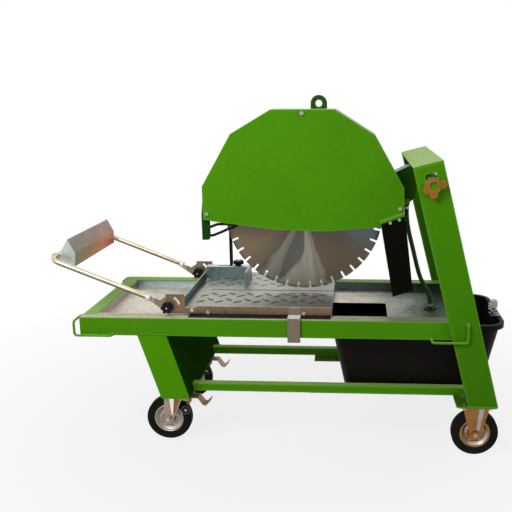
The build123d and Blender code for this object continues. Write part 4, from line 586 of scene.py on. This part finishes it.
def swept(points, radius, sides, swell):
    """A tube along the points; swell gives what the radius gains at a run along it and an angle."""
    verts = []
    faces = []
    last = len(points) - 1
    ahead = [(points[min(i + 1, last)] - points[max(i - 1, 0)]).normalized() for i in range(last + 1)]
    side = ahead[0].orthogonal().normalized()
    run = 0.0
    for i, point in enumerate(points):
        if i:
            run += (point - points[i - 1]).length
            side = (side - ahead[i] * side.dot(ahead[i])).normalized()
        other = ahead[i].cross(side)
        for k in range(sides):
            angle = 2 * math.pi * k / sides
            r = radius + swell(run, angle)
            verts.append(point + (side * math.cos(angle) + other * math.sin(angle)) * r)
        if i:
            for k in range(sides):
                m = (k + 1) % sides
                faces.append(((i - 1) * sides + k, (i - 1) * sides + m, i * sides + m, i * sides + k))
    faces.append(tuple(range(sides)))
    faces.append(tuple(last * sides + k for k in range(sides)))
    return verts, faces


def gathered(parts):
    """Several shapes as one."""
    verts = []
    faces = []
    for part_verts, part_faces in parts:
        start = len(verts)
        verts.extend(part_verts)
        faces.extend(tuple(start + i for i in face) for face in part_faces)
    return verts, faces


def lathe(profile, steps=48):
    """A closed outline of (radius, height) turned about the Z axis."""
    count = len(profile)
    verts = []
    faces = []
    for k in range(steps):
        turn = 2 * math.pi * k / steps
        after = (k + 1) % steps
        verts.extend(Vector((r * math.cos(turn), r * math.sin(turn), h)) for r, h in profile)
        for i in range(count):
            j = (i + 1) % count
            faces.append((k * count + i, k * count + j, after * count + j, after * count + i))
    return verts, faces


def prism(outline, wall):
    """An outline of (x, y) points raised along Z."""
    count = len(outline)
    verts = [Vector((x, y, h)) for h in (0.0, wall) for x, y in outline]
    faces = [tuple(range(count)), tuple(range(count, 2 * count))]
    faces.extend((i, (i + 1) % count, count + (i + 1) % count, count + i) for i in range(count))
    return verts, faces


def upright(outline, near, far):
    """A plate whose outline of (x, z) points stands between two places along Y."""
    verts = [Vector((x, y, z)) for y in (near, far) for x, z in outline]
    return verts, prism(outline, far - near)[1]


def placed(shape, at, axis=(0.0, 0.0, 1.0)):
    """The shape with its Z axis turned to the given direction and its origin at the given place."""
    turn = Vector((0.0, 0.0, 1.0)).rotation_difference(Vector(axis))
    verts, faces = shape
    return [turn @ v + Vector(at) for v in verts], faces


def box(low, high):
    """A block between two opposite corners."""
    outline = [(low[0], low[1]), (high[0], low[1]), (high[0], high[1]), (low[0], high[1])]
    return placed(prism(outline, high[2] - low[2]), (0.0, 0.0, low[2]))


def hex_head(radius, height):
    """A six-sided bolt head that stands on its seat."""
    turns = [2 * math.pi * k / 6 for k in range(6)]
    return prism([(radius * math.cos(turn), radius * math.sin(turn)) for turn in turns], height)


def star(radius, depth, teeth):
    """Outline of a disc with square teeth."""
    points = []
    for k in range(4 * teeth):
        turn = 2 * math.pi * k / (4 * teeth)
        reach = radius - depth if k % 4 > 1 else radius
        points.append((reach * math.cos(turn), reach * math.sin(turn)))
    return points


def loop(radius, height, minor, sides=10):
    """Outline of a ring that is round in section, for the lathe."""
    turns = [2 * math.pi * k / sides for k in range(sides)]
    return [(radius + minor * math.cos(turn), height + minor * math.sin(turn)) for turn in turns]


def weld(at, axis, radius, minor):
    """A rippled bead around a tube."""
    ripple, pitch = 0.15 * minor, 0.7 * minor
    turns = [math.radians(4 * k) for k in range(91)]
    line = [Vector((radius * math.cos(turn), radius * math.sin(turn), 0.0)) for turn in turns]
    bead = swept(line, minor, sides=8, swell=lambda run, angle: ripple * math.sin(run / pitch))
    return placed(bead, at, axis)


def wedge(flat_top, flat_low, ridge_top, ridge_low, foot_top, foot_low):
    """A pressed ridge: one slope from the sheet up to the ridge line, closed behind it."""
    verts = [flat_top, flat_low, ridge_top, ridge_low, foot_top, foot_low]
    return verts, [(0, 1, 3, 2), (2, 3, 5, 4), (0, 2, 4), (1, 5, 3), (0, 4, 5, 1)]


def lozenge(centre, angle, length, width, height, ring=10):
    """A raised tread bar with a chamfered top, its foot sunk into the sheet."""
    sunk, shoulder, chamfer, fullness = 0.0003, 0.35, 0.22, 0.9
    verts = []
    faces = []
    for inset, level in ((0.0, -sunk), (0.0, height * shoulder), (width * chamfer, height)):
        for k in range(ring):
            turn = 2 * math.pi * k / ring
            along = math.copysign(abs(math.cos(turn)) ** fullness, math.cos(turn)) * (length / 2 - inset)
            side = math.sin(turn) * (width / 2 - inset)
            verts.append((centre[0] + along * math.cos(angle) - side * math.sin(angle),
                          centre[1] + along * math.sin(angle) + side * math.cos(angle), centre[2] + level))
    for low in (0, ring):
        for k in range(ring):
            m = (k + 1) % ring
            faces.append((low + k, low + m, low + ring + m, low + ring + k))
    faces.append(tuple(2 * ring + k for k in range(ring)))
    faces.append(tuple(range(ring)))
    return verts, faces


# Places and directions that several pieces share, and the least radius of a turned outline
mid_y = 0.008
blade_y = -0.027
front, back, left, right = (0.0, -1.0, 0.0), (0.0, 1.0, 0.0), (-1.0, 0.0, 0.0), (1.0, 0.0, 0.0)
core = 0.0003

# Water hose from the nipple in the tray to the elbow on the guard
hose_y = blade_y
hose_radius, weave_height, weave_pitch = 0.0098, 0.0002, 0.0011
hose_route = [(0.665, hose_y, 0.568), (0.665, hose_y, 0.632), (0.620, hose_y, 0.696), (0.598, hose_y, 0.768),
              (0.580, hose_y, 0.842), (0.560, hose_y, 0.915), (0.547, hose_y, 0.985), (0.547, hose_y, 1.042)]
hose_line = spline_points(hose_route)


def weave(run, angle):
    """Fine spiral ribs on the hose."""
    return weave_height * math.sin(run / weave_pitch + angle)


hose = piece("hose", *swept(hose_line, hose_radius, sides=24, swell=weave), "hose")
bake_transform(hose)
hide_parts("water_hose")

# Raised tread on the deck, in twins that slope both ways, flatter where the angle stop slides over it
deck_top = 0.642
deck_area = ((-0.358, 0.206), (-0.256, 0.272))
stop_area = ((-0.43, -0.06), (-0.03, 0.19))
kerf_half, kerf_start = 0.026, -0.35
first_bar, bar_pitch, twin_shift = (-0.3430, -0.2130), (0.0805, 0.0885), (0.038, 0.029)
bar_length, bar_width, bar_slope = 0.046, 0.0160, math.radians(43)
bar_height, low_bar_height = 0.0020, 0.0003


def within(x, y, area):
    """Whether a place lies in an area given by its ends along X and Y."""
    (low_x, high_x), (low_y, high_y) = area
    return low_x < x < high_x and low_y < y < high_y


bars = []
for column in range(-1, 9):
    for row in range(-1, 8):
        for twin, slope in ((0, 1), (1, -1)):
            x = first_bar[0] + column * bar_pitch[0] + twin * twin_shift[0]
            y = first_bar[1] + row * bar_pitch[1] + twin * twin_shift[1]
            over_kerf = abs(y - blade_y) < kerf_half and x > kerf_start
            if over_kerf or not within(x, y, deck_area):
                continue
            height = low_bar_height if within(x, y, stop_area) else bar_height
            bars.append(lozenge((x, y, deck_top), slope * bar_slope, bar_length, bar_width, height))
piece("deck_tread", *gathered(bars), "tread", "carriage")

# Wheels: pressed dishes with rolled rims and bolts, ribs on the tyres
axle_z = 0.100
swivel_x, fixed_x = -0.503, 0.842021
swivel_half, fixed_half = 0.221, 0.305
wheels = (("left_front", "caster_front", swivel_x, mid_y - swivel_half),
          ("left_rear", "caster_rear", swivel_x, mid_y + swivel_half),
          ("right_front", "frame", fixed_x, mid_y - fixed_half),
          ("right_rear", "frame", fixed_x, mid_y + fixed_half))
dish_outline = [(0.0255, 0.0062), (0.0255, 0.0125), (0.0310, 0.0142), (0.0400, 0.0118), (0.0430, 0.0086),
                (0.0455, 0.0084), (0.0466, 0.0090), (0.0566, 0.0186), (0.0575, 0.0192), (0.0576, 0.0182),
                (0.0576, 0.0062)]
edge_outline = loop(radius=0.0625, height=0.0200, minor=0.0024)
lip_outline = loop(radius=0.0436, height=0.0092, minor=0.0015)
rib_outlines = [loop(radius, height=0.0229, minor=0.0011, sides=8) for radius in (0.0735, 0.0855)]
bolt_circle, bolt_seat = 0.0365, 0.0120
wheel_bolt = hex_head(radius=0.0046, height=0.0042)
bolt_turns = [math.radians(72 * k + 20) for k in range(5)]
for name, _, x, y in wheels:
    dishes, edges, lips, ribs, heads = [], [], [], [], []
    for axis in (front, back):
        at = (x, y, axle_z)
        dishes.append(placed(lathe(dish_outline), at, axis))
        edges.append(placed(lathe(edge_outline, steps=64), at, axis))
        lips.append(placed(lathe(lip_outline, steps=64), at, axis))
        ribs.extend(placed(lathe(outline, steps=64), at, axis) for outline in rib_outlines)
        for turn in bolt_turns:
            across, up = bolt_circle * math.cos(turn), bolt_circle * math.sin(turn)
            heads.append(placed(wheel_bolt, (x + across, y + axis[1] * bolt_seat, axle_z + up), axis))
    body = "wheel_" + name
    pale = "left" in name
    # Dishes and rolled edges carry painted light from their materials; the tyre ribs' paler bluish rubber is
    # a painted highlight.
    piece("dish_" + name, *gathered(dishes), "dish_pale" if pale else "dish", body)
    piece("edge_" + name, *gathered(edges), "edge_pale" if pale else "rim", body)
    piece("lip_" + name, *gathered(lips), "lip" if pale else "rim", body)
    piece("sidewall_" + name, *gathered(ribs), "sidewall", body)
    piece("wheel_bolts_" + name, *gathered(heads), "bolt" if pale else "fork", body, smooth=False)

# Forks: the axle's ends and a pressed ridge on each cheek. A ridge is given by where it starts, crests
# and ends at its top and at its foot, and by those two heights.
cheek_out = 0.0310
crest_top_lift, crest_low_lift, end_rise = 0.005, 0.0015, 0.008
swivel_ridge = ((0.0055, 0.0150), (0.0310, 0.0215), (0.0585, 0.0300), 0.2125, 0.121)
fixed_ridge = ((0.0130, 0.0030), (0.0345, 0.0170), (0.0520, 0.0250), 0.2275, 0.118)
nut_out = 0.0388
axle_nut = hex_head(radius=0.0112, height=0.0040)
axle_end = [(core, 0.0), (0.0058, 0.0), (0.0058, 0.0062), (0.0046, 0.0072), (core, 0.0072)]


def pressed_ridge(x, y, away, start, crest, end, top, low):
    """The slope up to the crest and the slope down from it, on the cheek that looks away from the wheel."""
    def on_cheek(along, z, lift=0.0):
        return Vector((x + along, y + away * (cheek_out + lift), z))

    ridge = (on_cheek(crest[0], top, crest_top_lift), on_cheek(crest[1], low, crest_low_lift),
             on_cheek(crest[0], top), on_cheek(crest[1], low))
    rise = wedge(on_cheek(start[0], top), on_cheek(start[1], low), *ridge)
    fall = wedge(on_cheek(end[0], top), on_cheek(end[1], low + end_rise), *ridge)
    return rise, fall


for name, body, x, y in wheels:
    swivels = "left" in name
    shape = swivel_ridge if swivels else fixed_ridge
    rises, falls = zip(*(pressed_ridge(x, y, away, *shape) for away in (-1, 1)))
    # The ridge's lit slope is a painted highlight, bright zinc on swivel forks and silver steel on fixed
    # ones; on swivel forks the far slope's brown chromate is painted shade.
    piece("ridge_" + name, *gathered(rises), "ridge" if swivels else "flange", body, smooth=False)
    piece("slope_" + name, *gathered(falls), "zinc", body, smooth=False)
    ends = []
    for axis in (front, back):
        seat = Vector((x, y + axis[1] * nut_out, axle_z))
        ends.append(placed(axle_nut, seat, axis))
        ends.append(placed(lathe(axle_end, steps=20), seat, axis))
    made = piece("axle_ends_" + name, *gathered(ends), "bolt" if swivels else "fork", body, smooth=False)
    rounded_edges(made, width=0.0005)

# Brakes: an arm down from the pedal, and the roll on its pin
brake_x, brake_z, roll_out = -0.419, 0.153, 0.0365
arm_near, arm_far = 0.0335, 0.0362
arm_outline = [(-0.4085, 0.1995), (-0.3985, 0.1995), (-0.4080, 0.1480), (-0.4290, 0.1480)]
roll_outline = [(0.0040, 0.0), (0.0190, 0.0), (0.0215, 0.0020), (0.0215, 0.0090), (0.0190, 0.0110),
                (0.0110, 0.0115), (0.0040, 0.0100)]
roll_ring = loop(radius=0.0185, height=0.0105, minor=0.0014)
brake_pin = hex_head(radius=0.0062, height=0.0130)
for name, y in (("front", mid_y - swivel_half), ("rear", mid_y + swivel_half)):
    hub = Vector((brake_x, y - roll_out, brake_z))
    body = "pedal_" + name
    strip = upright(arm_outline, y - arm_near, y - arm_far)
    rounded_edges(piece("brake_arm_" + name, *strip, "zinc", body, smooth=False), width=0.0008)
    piece("brake_roll_" + name, *placed(lathe(roll_outline), hub, front), "sidewall", body)
    piece("brake_ring_" + name, *placed(lathe(roll_ring), hub, front), "motor", body)
    piece("brake_pin_" + name, *placed(brake_pin, hub, front), "flange", body, smooth=False)

# Push handle: collars where the tube enters its lugs, and caps on the clamping knobs
handle_half, collar_x, collar_z = 0.290, -0.5395, 0.6748
handle_way = Vector((-0.9393, 0.0, 0.3433))
collar_radius, collar_draw, collar_length, collar_chamfer = 0.0142, 0.0008, 0.019, 0.002
collar_rings = (0.0, collar_chamfer, collar_length - collar_chamfer, collar_length)
knob_x, knob_z = -0.467, 0.637
cap_outline = [(core, 0.0), (0.0040, 0.0), (0.0036, 0.0010), (core, 0.0016)]


def drawn_in(run, angle):
    """Narrows the collar at its two ends."""
    between = collar_chamfer / 2 < run < collar_length - collar_chamfer / 2
    return 0.0 if between else -collar_draw


collars = []
for side in (-1, 1):
    end = Vector((collar_x, mid_y + side * handle_half, collar_z))
    rings = [end + run * handle_way for run in collar_rings]
    collars.append(swept(rings, collar_radius, sides=28, swell=drawn_in))
piece("handle_collars", *gathered(collars), "bare", "handle")
for name, y in (("front", -0.3074), ("rear", 0.2636)):
    cap = placed(lathe(cap_outline), (knob_x, y, knob_z), front)
    piece("knob_cap_" + name, *cap, "rod", "handle_knob_" + name)

# Dark rubber strips under the deck's long edges, painted shade where the deck shades the rails: upright
# strips between the rollers, flat strips beside the clips
shade_strip_ends = (-0.3765, 0.2225)
roller_gaps = ((-0.3180, -0.2760), (0.0880, 0.1300))
clip_gaps = ((0.0425, 0.0985),)
upright_y, upright_z = (0.2786, 0.2816), (0.6011, 0.6180)
flat_y, flat_z = (0.2815, 0.3180), (0.6006, 0.6028)


def stretches(ends, gaps):
    """What the gaps leave of a strip between its two ends."""
    stops = [ends[0], *(stop for gap in gaps for stop in gap), ends[1]]
    return zip(stops[::2], stops[1::2])


shade_strips = []
for outs, (low, high), gaps in ((upright_y, upright_z, roller_gaps), (flat_y, flat_z, clip_gaps)):
    for side in (-1, 1):
        near, far = sorted(mid_y + side * out for out in outs)
        for start, end in stretches(shade_strip_ends, gaps):
            shade_strips.append(box((start, near, low), (end, far, high)))
piece("deck_shade_strips", *gathered(shade_strips), "sidewall", "carriage", smooth=False)

# Worm-drive clamps near both ends of the hose
clamp_band = [(0.0101, -0.0045), (0.0114, -0.0045), (0.0114, 0.0045), (0.0101, 0.0045)]
housing_low, housing_high = Vector((-0.0055, -0.0165, -0.0042)), Vector((0.0055, -0.0108, 0.0042))
screw_start = Vector((-0.0080, -0.0135, 0.0))
clamp_screw = hex_head(radius=0.0036, height=0.0150)
for name, at, body in (("low", (0.665, hose_y, 0.5815), "frame"), ("high", (0.547, hose_y, 1.0290), "head")):
    middle = Vector(at)
    clamp = [placed(lathe(clamp_band), at), box(middle + housing_low, middle + housing_high),
             placed(clamp_screw, middle + screw_start, right)]
    rounded_edges(piece("hose_clamp_" + name, *gathered(clamp), "bolt", body, smooth=False), width=0.0004)

# Clip on the tub's rim: a plate with a post, and a toothed knob on it
clip_plate = box((0.9260, -0.0980, 0.5553), (0.9708, -0.0450, 0.5578))
clip_post = box((0.9370, -0.0490, 0.5575), (0.9430, -0.0450, 0.5860))
knob_seat, knob_way = Vector((0.937, -0.046, 0.5905)), Vector((0.74, -0.66, -0.08))
knob_wall = 0.0160
knob_body = prism(star(radius=0.0300, depth=0.0028, teeth=16), knob_wall)
knob_face = [(core, 0.0), (0.0210, 0.0), (0.0198, 0.0022), (0.0090, 0.0026), (0.0070, 0.0050),
             (core, 0.0054)]
face_seat = knob_seat + knob_wall * knob_way.normalized()
plate = piece("tub_clip_plate", *gathered([clip_plate, clip_post]), "clip", "tub", smooth=False)
rounded_edges(plate, width=0.0006)
knob = piece("tub_clip_knob", *placed(knob_body, knob_seat, knob_way), "roller", "tub", smooth=False)
rounded_edges(knob, width=0.0012)
piece("tub_clip_cap", *placed(lathe(knob_face), face_seat, knob_way), "fork", "tub")

# Weld beads at the feet of the lashing bars and around the arm's hub
rail_out, web_out, end_rail_out = 0.330, 0.365, 0.268
bar_bead, hub_bead = (0.0058, 0.0018), (0.0390, 0.0030)
hub_x, hub_z = 0.6226, 1.170
beads = []
for face, side in ((front, -1), (back, 1)):
    for x, out, z in ((-0.697, rail_out, 0.526), (0.642, rail_out, 0.526), (0.786, web_out, 0.601)):
        beads.append(weld((x, mid_y + side * out, z), face, *bar_bead))
    beads.append(weld((-0.837, mid_y + side * end_rail_out, 0.588), left, *bar_bead))
piece("loop_welds", *gathered(beads), "green", "frame")
hub_beads = [weld((hub_x, y, hub_z), face, *hub_bead) for y, face in ((0.0425, front), (0.1435, back))]
piece("hub_welds", *gathered(hub_beads), "dark_green", "head")

# Switch box: bezels around its buttons, gasket under its lid and screws on it
box_y = 0.200
button_x, button_half, button_z = 0.0280, 0.022, 1.1555
bezel = [(0.0124, 0.0), (0.0165, 0.0), (0.0165, 0.0025), (0.0148, 0.0040), (0.0124, 0.0040)]
gasket_half_x, gasket_half_y, gasket_z = 0.057, 0.047, 1.1760
gasket_corner, gasket_wall = 0.0086, 0.0022
screw_half_x, screw_half_y, screw_z = 0.050, 0.040, 1.1928
screw_head = [(core, 0.0), (0.0048, 0.0), (0.0044, 0.0014), (core, 0.0022)]
bezels = [placed(lathe(bezel), (button_x, box_y + side * button_half, button_z), left) for side in (-1, 1)]
piece("button_bezels", *gathered(bezels), "knob", "head")
corners = []
for across, along, start in ((1, 1, 0), (-1, 1, 90), (-1, -1, 180), (1, -1, 270)):
    for degrees in range(start, start + 91, 15):
        turn = math.radians(degrees)
        corners.append((blade_x + across * gasket_half_x + gasket_corner * math.cos(turn),
                        box_y + along * gasket_half_y + gasket_corner * math.sin(turn)))
piece("box_gasket", *placed(prism(corners, gasket_wall), (0.0, 0.0, gasket_z)), "flap", "head", smooth=False)
screws = []
for across in (-1, 1):
    for along in (-1, 1):
        seat = (blade_x + across * screw_half_x, box_y + along * screw_half_y, screw_z)
        screws.append(placed(lathe(screw_head, steps=20), seat))
piece("box_screws", *gathered(screws), "bolt", "head")

# Bolts on the motor's flange
flange_circle, flange_face = 0.1155, 0.0699
flange_bolt = hex_head(radius=0.0078, height=0.0062)
flange_bolts = []
for degrees in (110, 180, 250, 320):
    turn = math.radians(degrees)
    seat = (blade_x + flange_circle * math.cos(turn), flange_face, blade_z + flange_circle * math.sin(turn))
    flange_bolts.append(placed(flange_bolt, seat, back))
rounded_edges(piece("motor_bolts", *gathered(flange_bolts), "bolt", "head", smooth=False), width=0.0007)


def seen_directly(tree):
    """1 where the camera looks straight, by a reflection or through glass, 0 where light is gathered."""
    rays = tree.nodes.new("ShaderNodeLightPath")
    share = rays.outputs["Is Camera Ray"]
    for kind in ("Is Glossy Ray", "Is Transmission Ray"):
        most = tree.nodes.new("ShaderNodeMath")
        most.operation = "MAXIMUM"
        tree.links.new(share, most.inputs[0])
        tree.links.new(rays.outputs[kind], most.inputs[1])
        share = most.outputs["Value"]
    return share


def floor_white(tone, near, far, near_glow):
    """Pale floor: matt where it takes the saw's shadow, fading to plain white away from the saw."""
    material = bpy.data.materials.new("floor_white")
    material.use_nodes = True
    tree = material.node_tree
    tree.nodes.remove(tree.nodes["Principled BSDF"])
    matt = tree.nodes.new("ShaderNodeBsdfDiffuse")
    matt.inputs["Color"].default_value = (tone, tone, tone, 1.0)
    glow = tree.nodes.new("ShaderNodeEmission")
    glow.inputs["Strength"].default_value = 1.0
    where = tree.nodes.new("ShaderNodeTexCoord")
    reach = tree.nodes.new("ShaderNodeVectorMath")
    reach.operation = "LENGTH"
    fade = tree.nodes.new("ShaderNodeMapRange")
    for socket, value in (("From Min", near), ("From Max", far), ("To Min", near_glow), ("To Max", 1.0)):
        fade.inputs[socket].default_value = value
    share = tree.nodes.new("ShaderNodeMath")
    share.operation = "MULTIPLY"
    both = tree.nodes.new("ShaderNodeMixShader")
    tree.links.new(where.outputs["Object"], reach.inputs[0])
    tree.links.new(reach.outputs["Value"], fade.inputs["Value"])
    tree.links.new(seen_directly(tree), share.inputs[0])
    tree.links.new(fade.outputs["Result"], share.inputs[1])
    tree.links.new(share.outputs["Value"], both.inputs["Fac"])
    tree.links.new(matt.outputs["BSDF"], both.inputs[1])
    tree.links.new(glow.outputs["Emission"], both.inputs[2])
    tree.links.new(both.outputs["Shader"], tree.nodes["Material Output"].inputs["Surface"])
    return material


# Floor, room and lamps
floor_radius = 40.0
floor_mesh = bpy.data.meshes.new("floor")
work = bmesh.new()
bmesh.ops.create_circle(work, cap_ends=True, segments=96, radius=floor_radius)
work.to_mesh(floor_mesh)
work.free()
floor = bpy.data.objects.new("floor", floor_mesh)
scene.collection.objects.link(floor)
floor_mesh.materials.append(floor_white(tone=0.55, near=0.7, far=2.4, near_glow=0.80))


def studio(light_strength):
    """An even white room that lights the saw softly and shows as plain white."""
    world = bpy.data.worlds.new("studio")
    world.use_nodes = True
    sky = world.node_tree
    soft = sky.nodes["Background"]
    white = sky.nodes.new("ShaderNodeBackground")
    for background, strength in ((soft, light_strength), (white, 1.0)):
        background.inputs["Color"].default_value = (1.0, 1.0, 1.0, 1.0)
        background.inputs["Strength"].default_value = strength
    both = sky.nodes.new("ShaderNodeMixShader")
    sky.links.new(seen_directly(sky), both.inputs["Fac"])
    sky.links.new(soft.outputs["Background"], both.inputs[1])
    sky.links.new(white.outputs["Background"], both.inputs[2])
    sky.links.new(both.outputs["Shader"], sky.nodes["World Output"].inputs["Surface"])
    return world


scene.world = studio(light_strength=0.42)


def lamp(name, place, target, width, height, power):
    """A rectangular lamp turned to the target."""
    light = bpy.data.lights.new(name, "AREA")
    light.shape = "RECTANGLE"
    light.size = width
    light.size_y = height
    light.energy = power
    holder = bpy.data.objects.new(name, light)
    holder.location = place
    holder.rotation_euler = (Vector(target) - Vector(place)).to_track_quat("-Z", "Y").to_euler()
    scene.collection.objects.link(holder)


lamp("key", (-1.9, -2.8, 3.4), (0.0, 0.0, 0.75), width=2.2, height=1.6, power=110.0)
lamp("fill", (2.8, -2.4, 2.2), (0.1, 0.0, 0.7), width=1.6, height=1.6, power=9.0)
lamp("back", (0.6, 3.0, 3.0), (0.0, 0.0, 0.8), width=2.2, height=1.4, power=28.0)

# Camera as fitted to the photograph
looks_down, looks_left = 13.33, 2.53
lens = bpy.data.cameras.new("camera")
lens.sensor_fit = "HORIZONTAL"
lens.sensor_width = 36.0
lens.lens = 48.3
lens.shift_x = -0.137
camera = bpy.data.objects.new("camera", lens)
camera.location = (0.325, -3.030, 1.517)
camera.rotation_euler = (math.radians(90 - looks_down), 0.0, math.radians(looks_left))
scene.collection.objects.link(camera)
scene.camera = camera
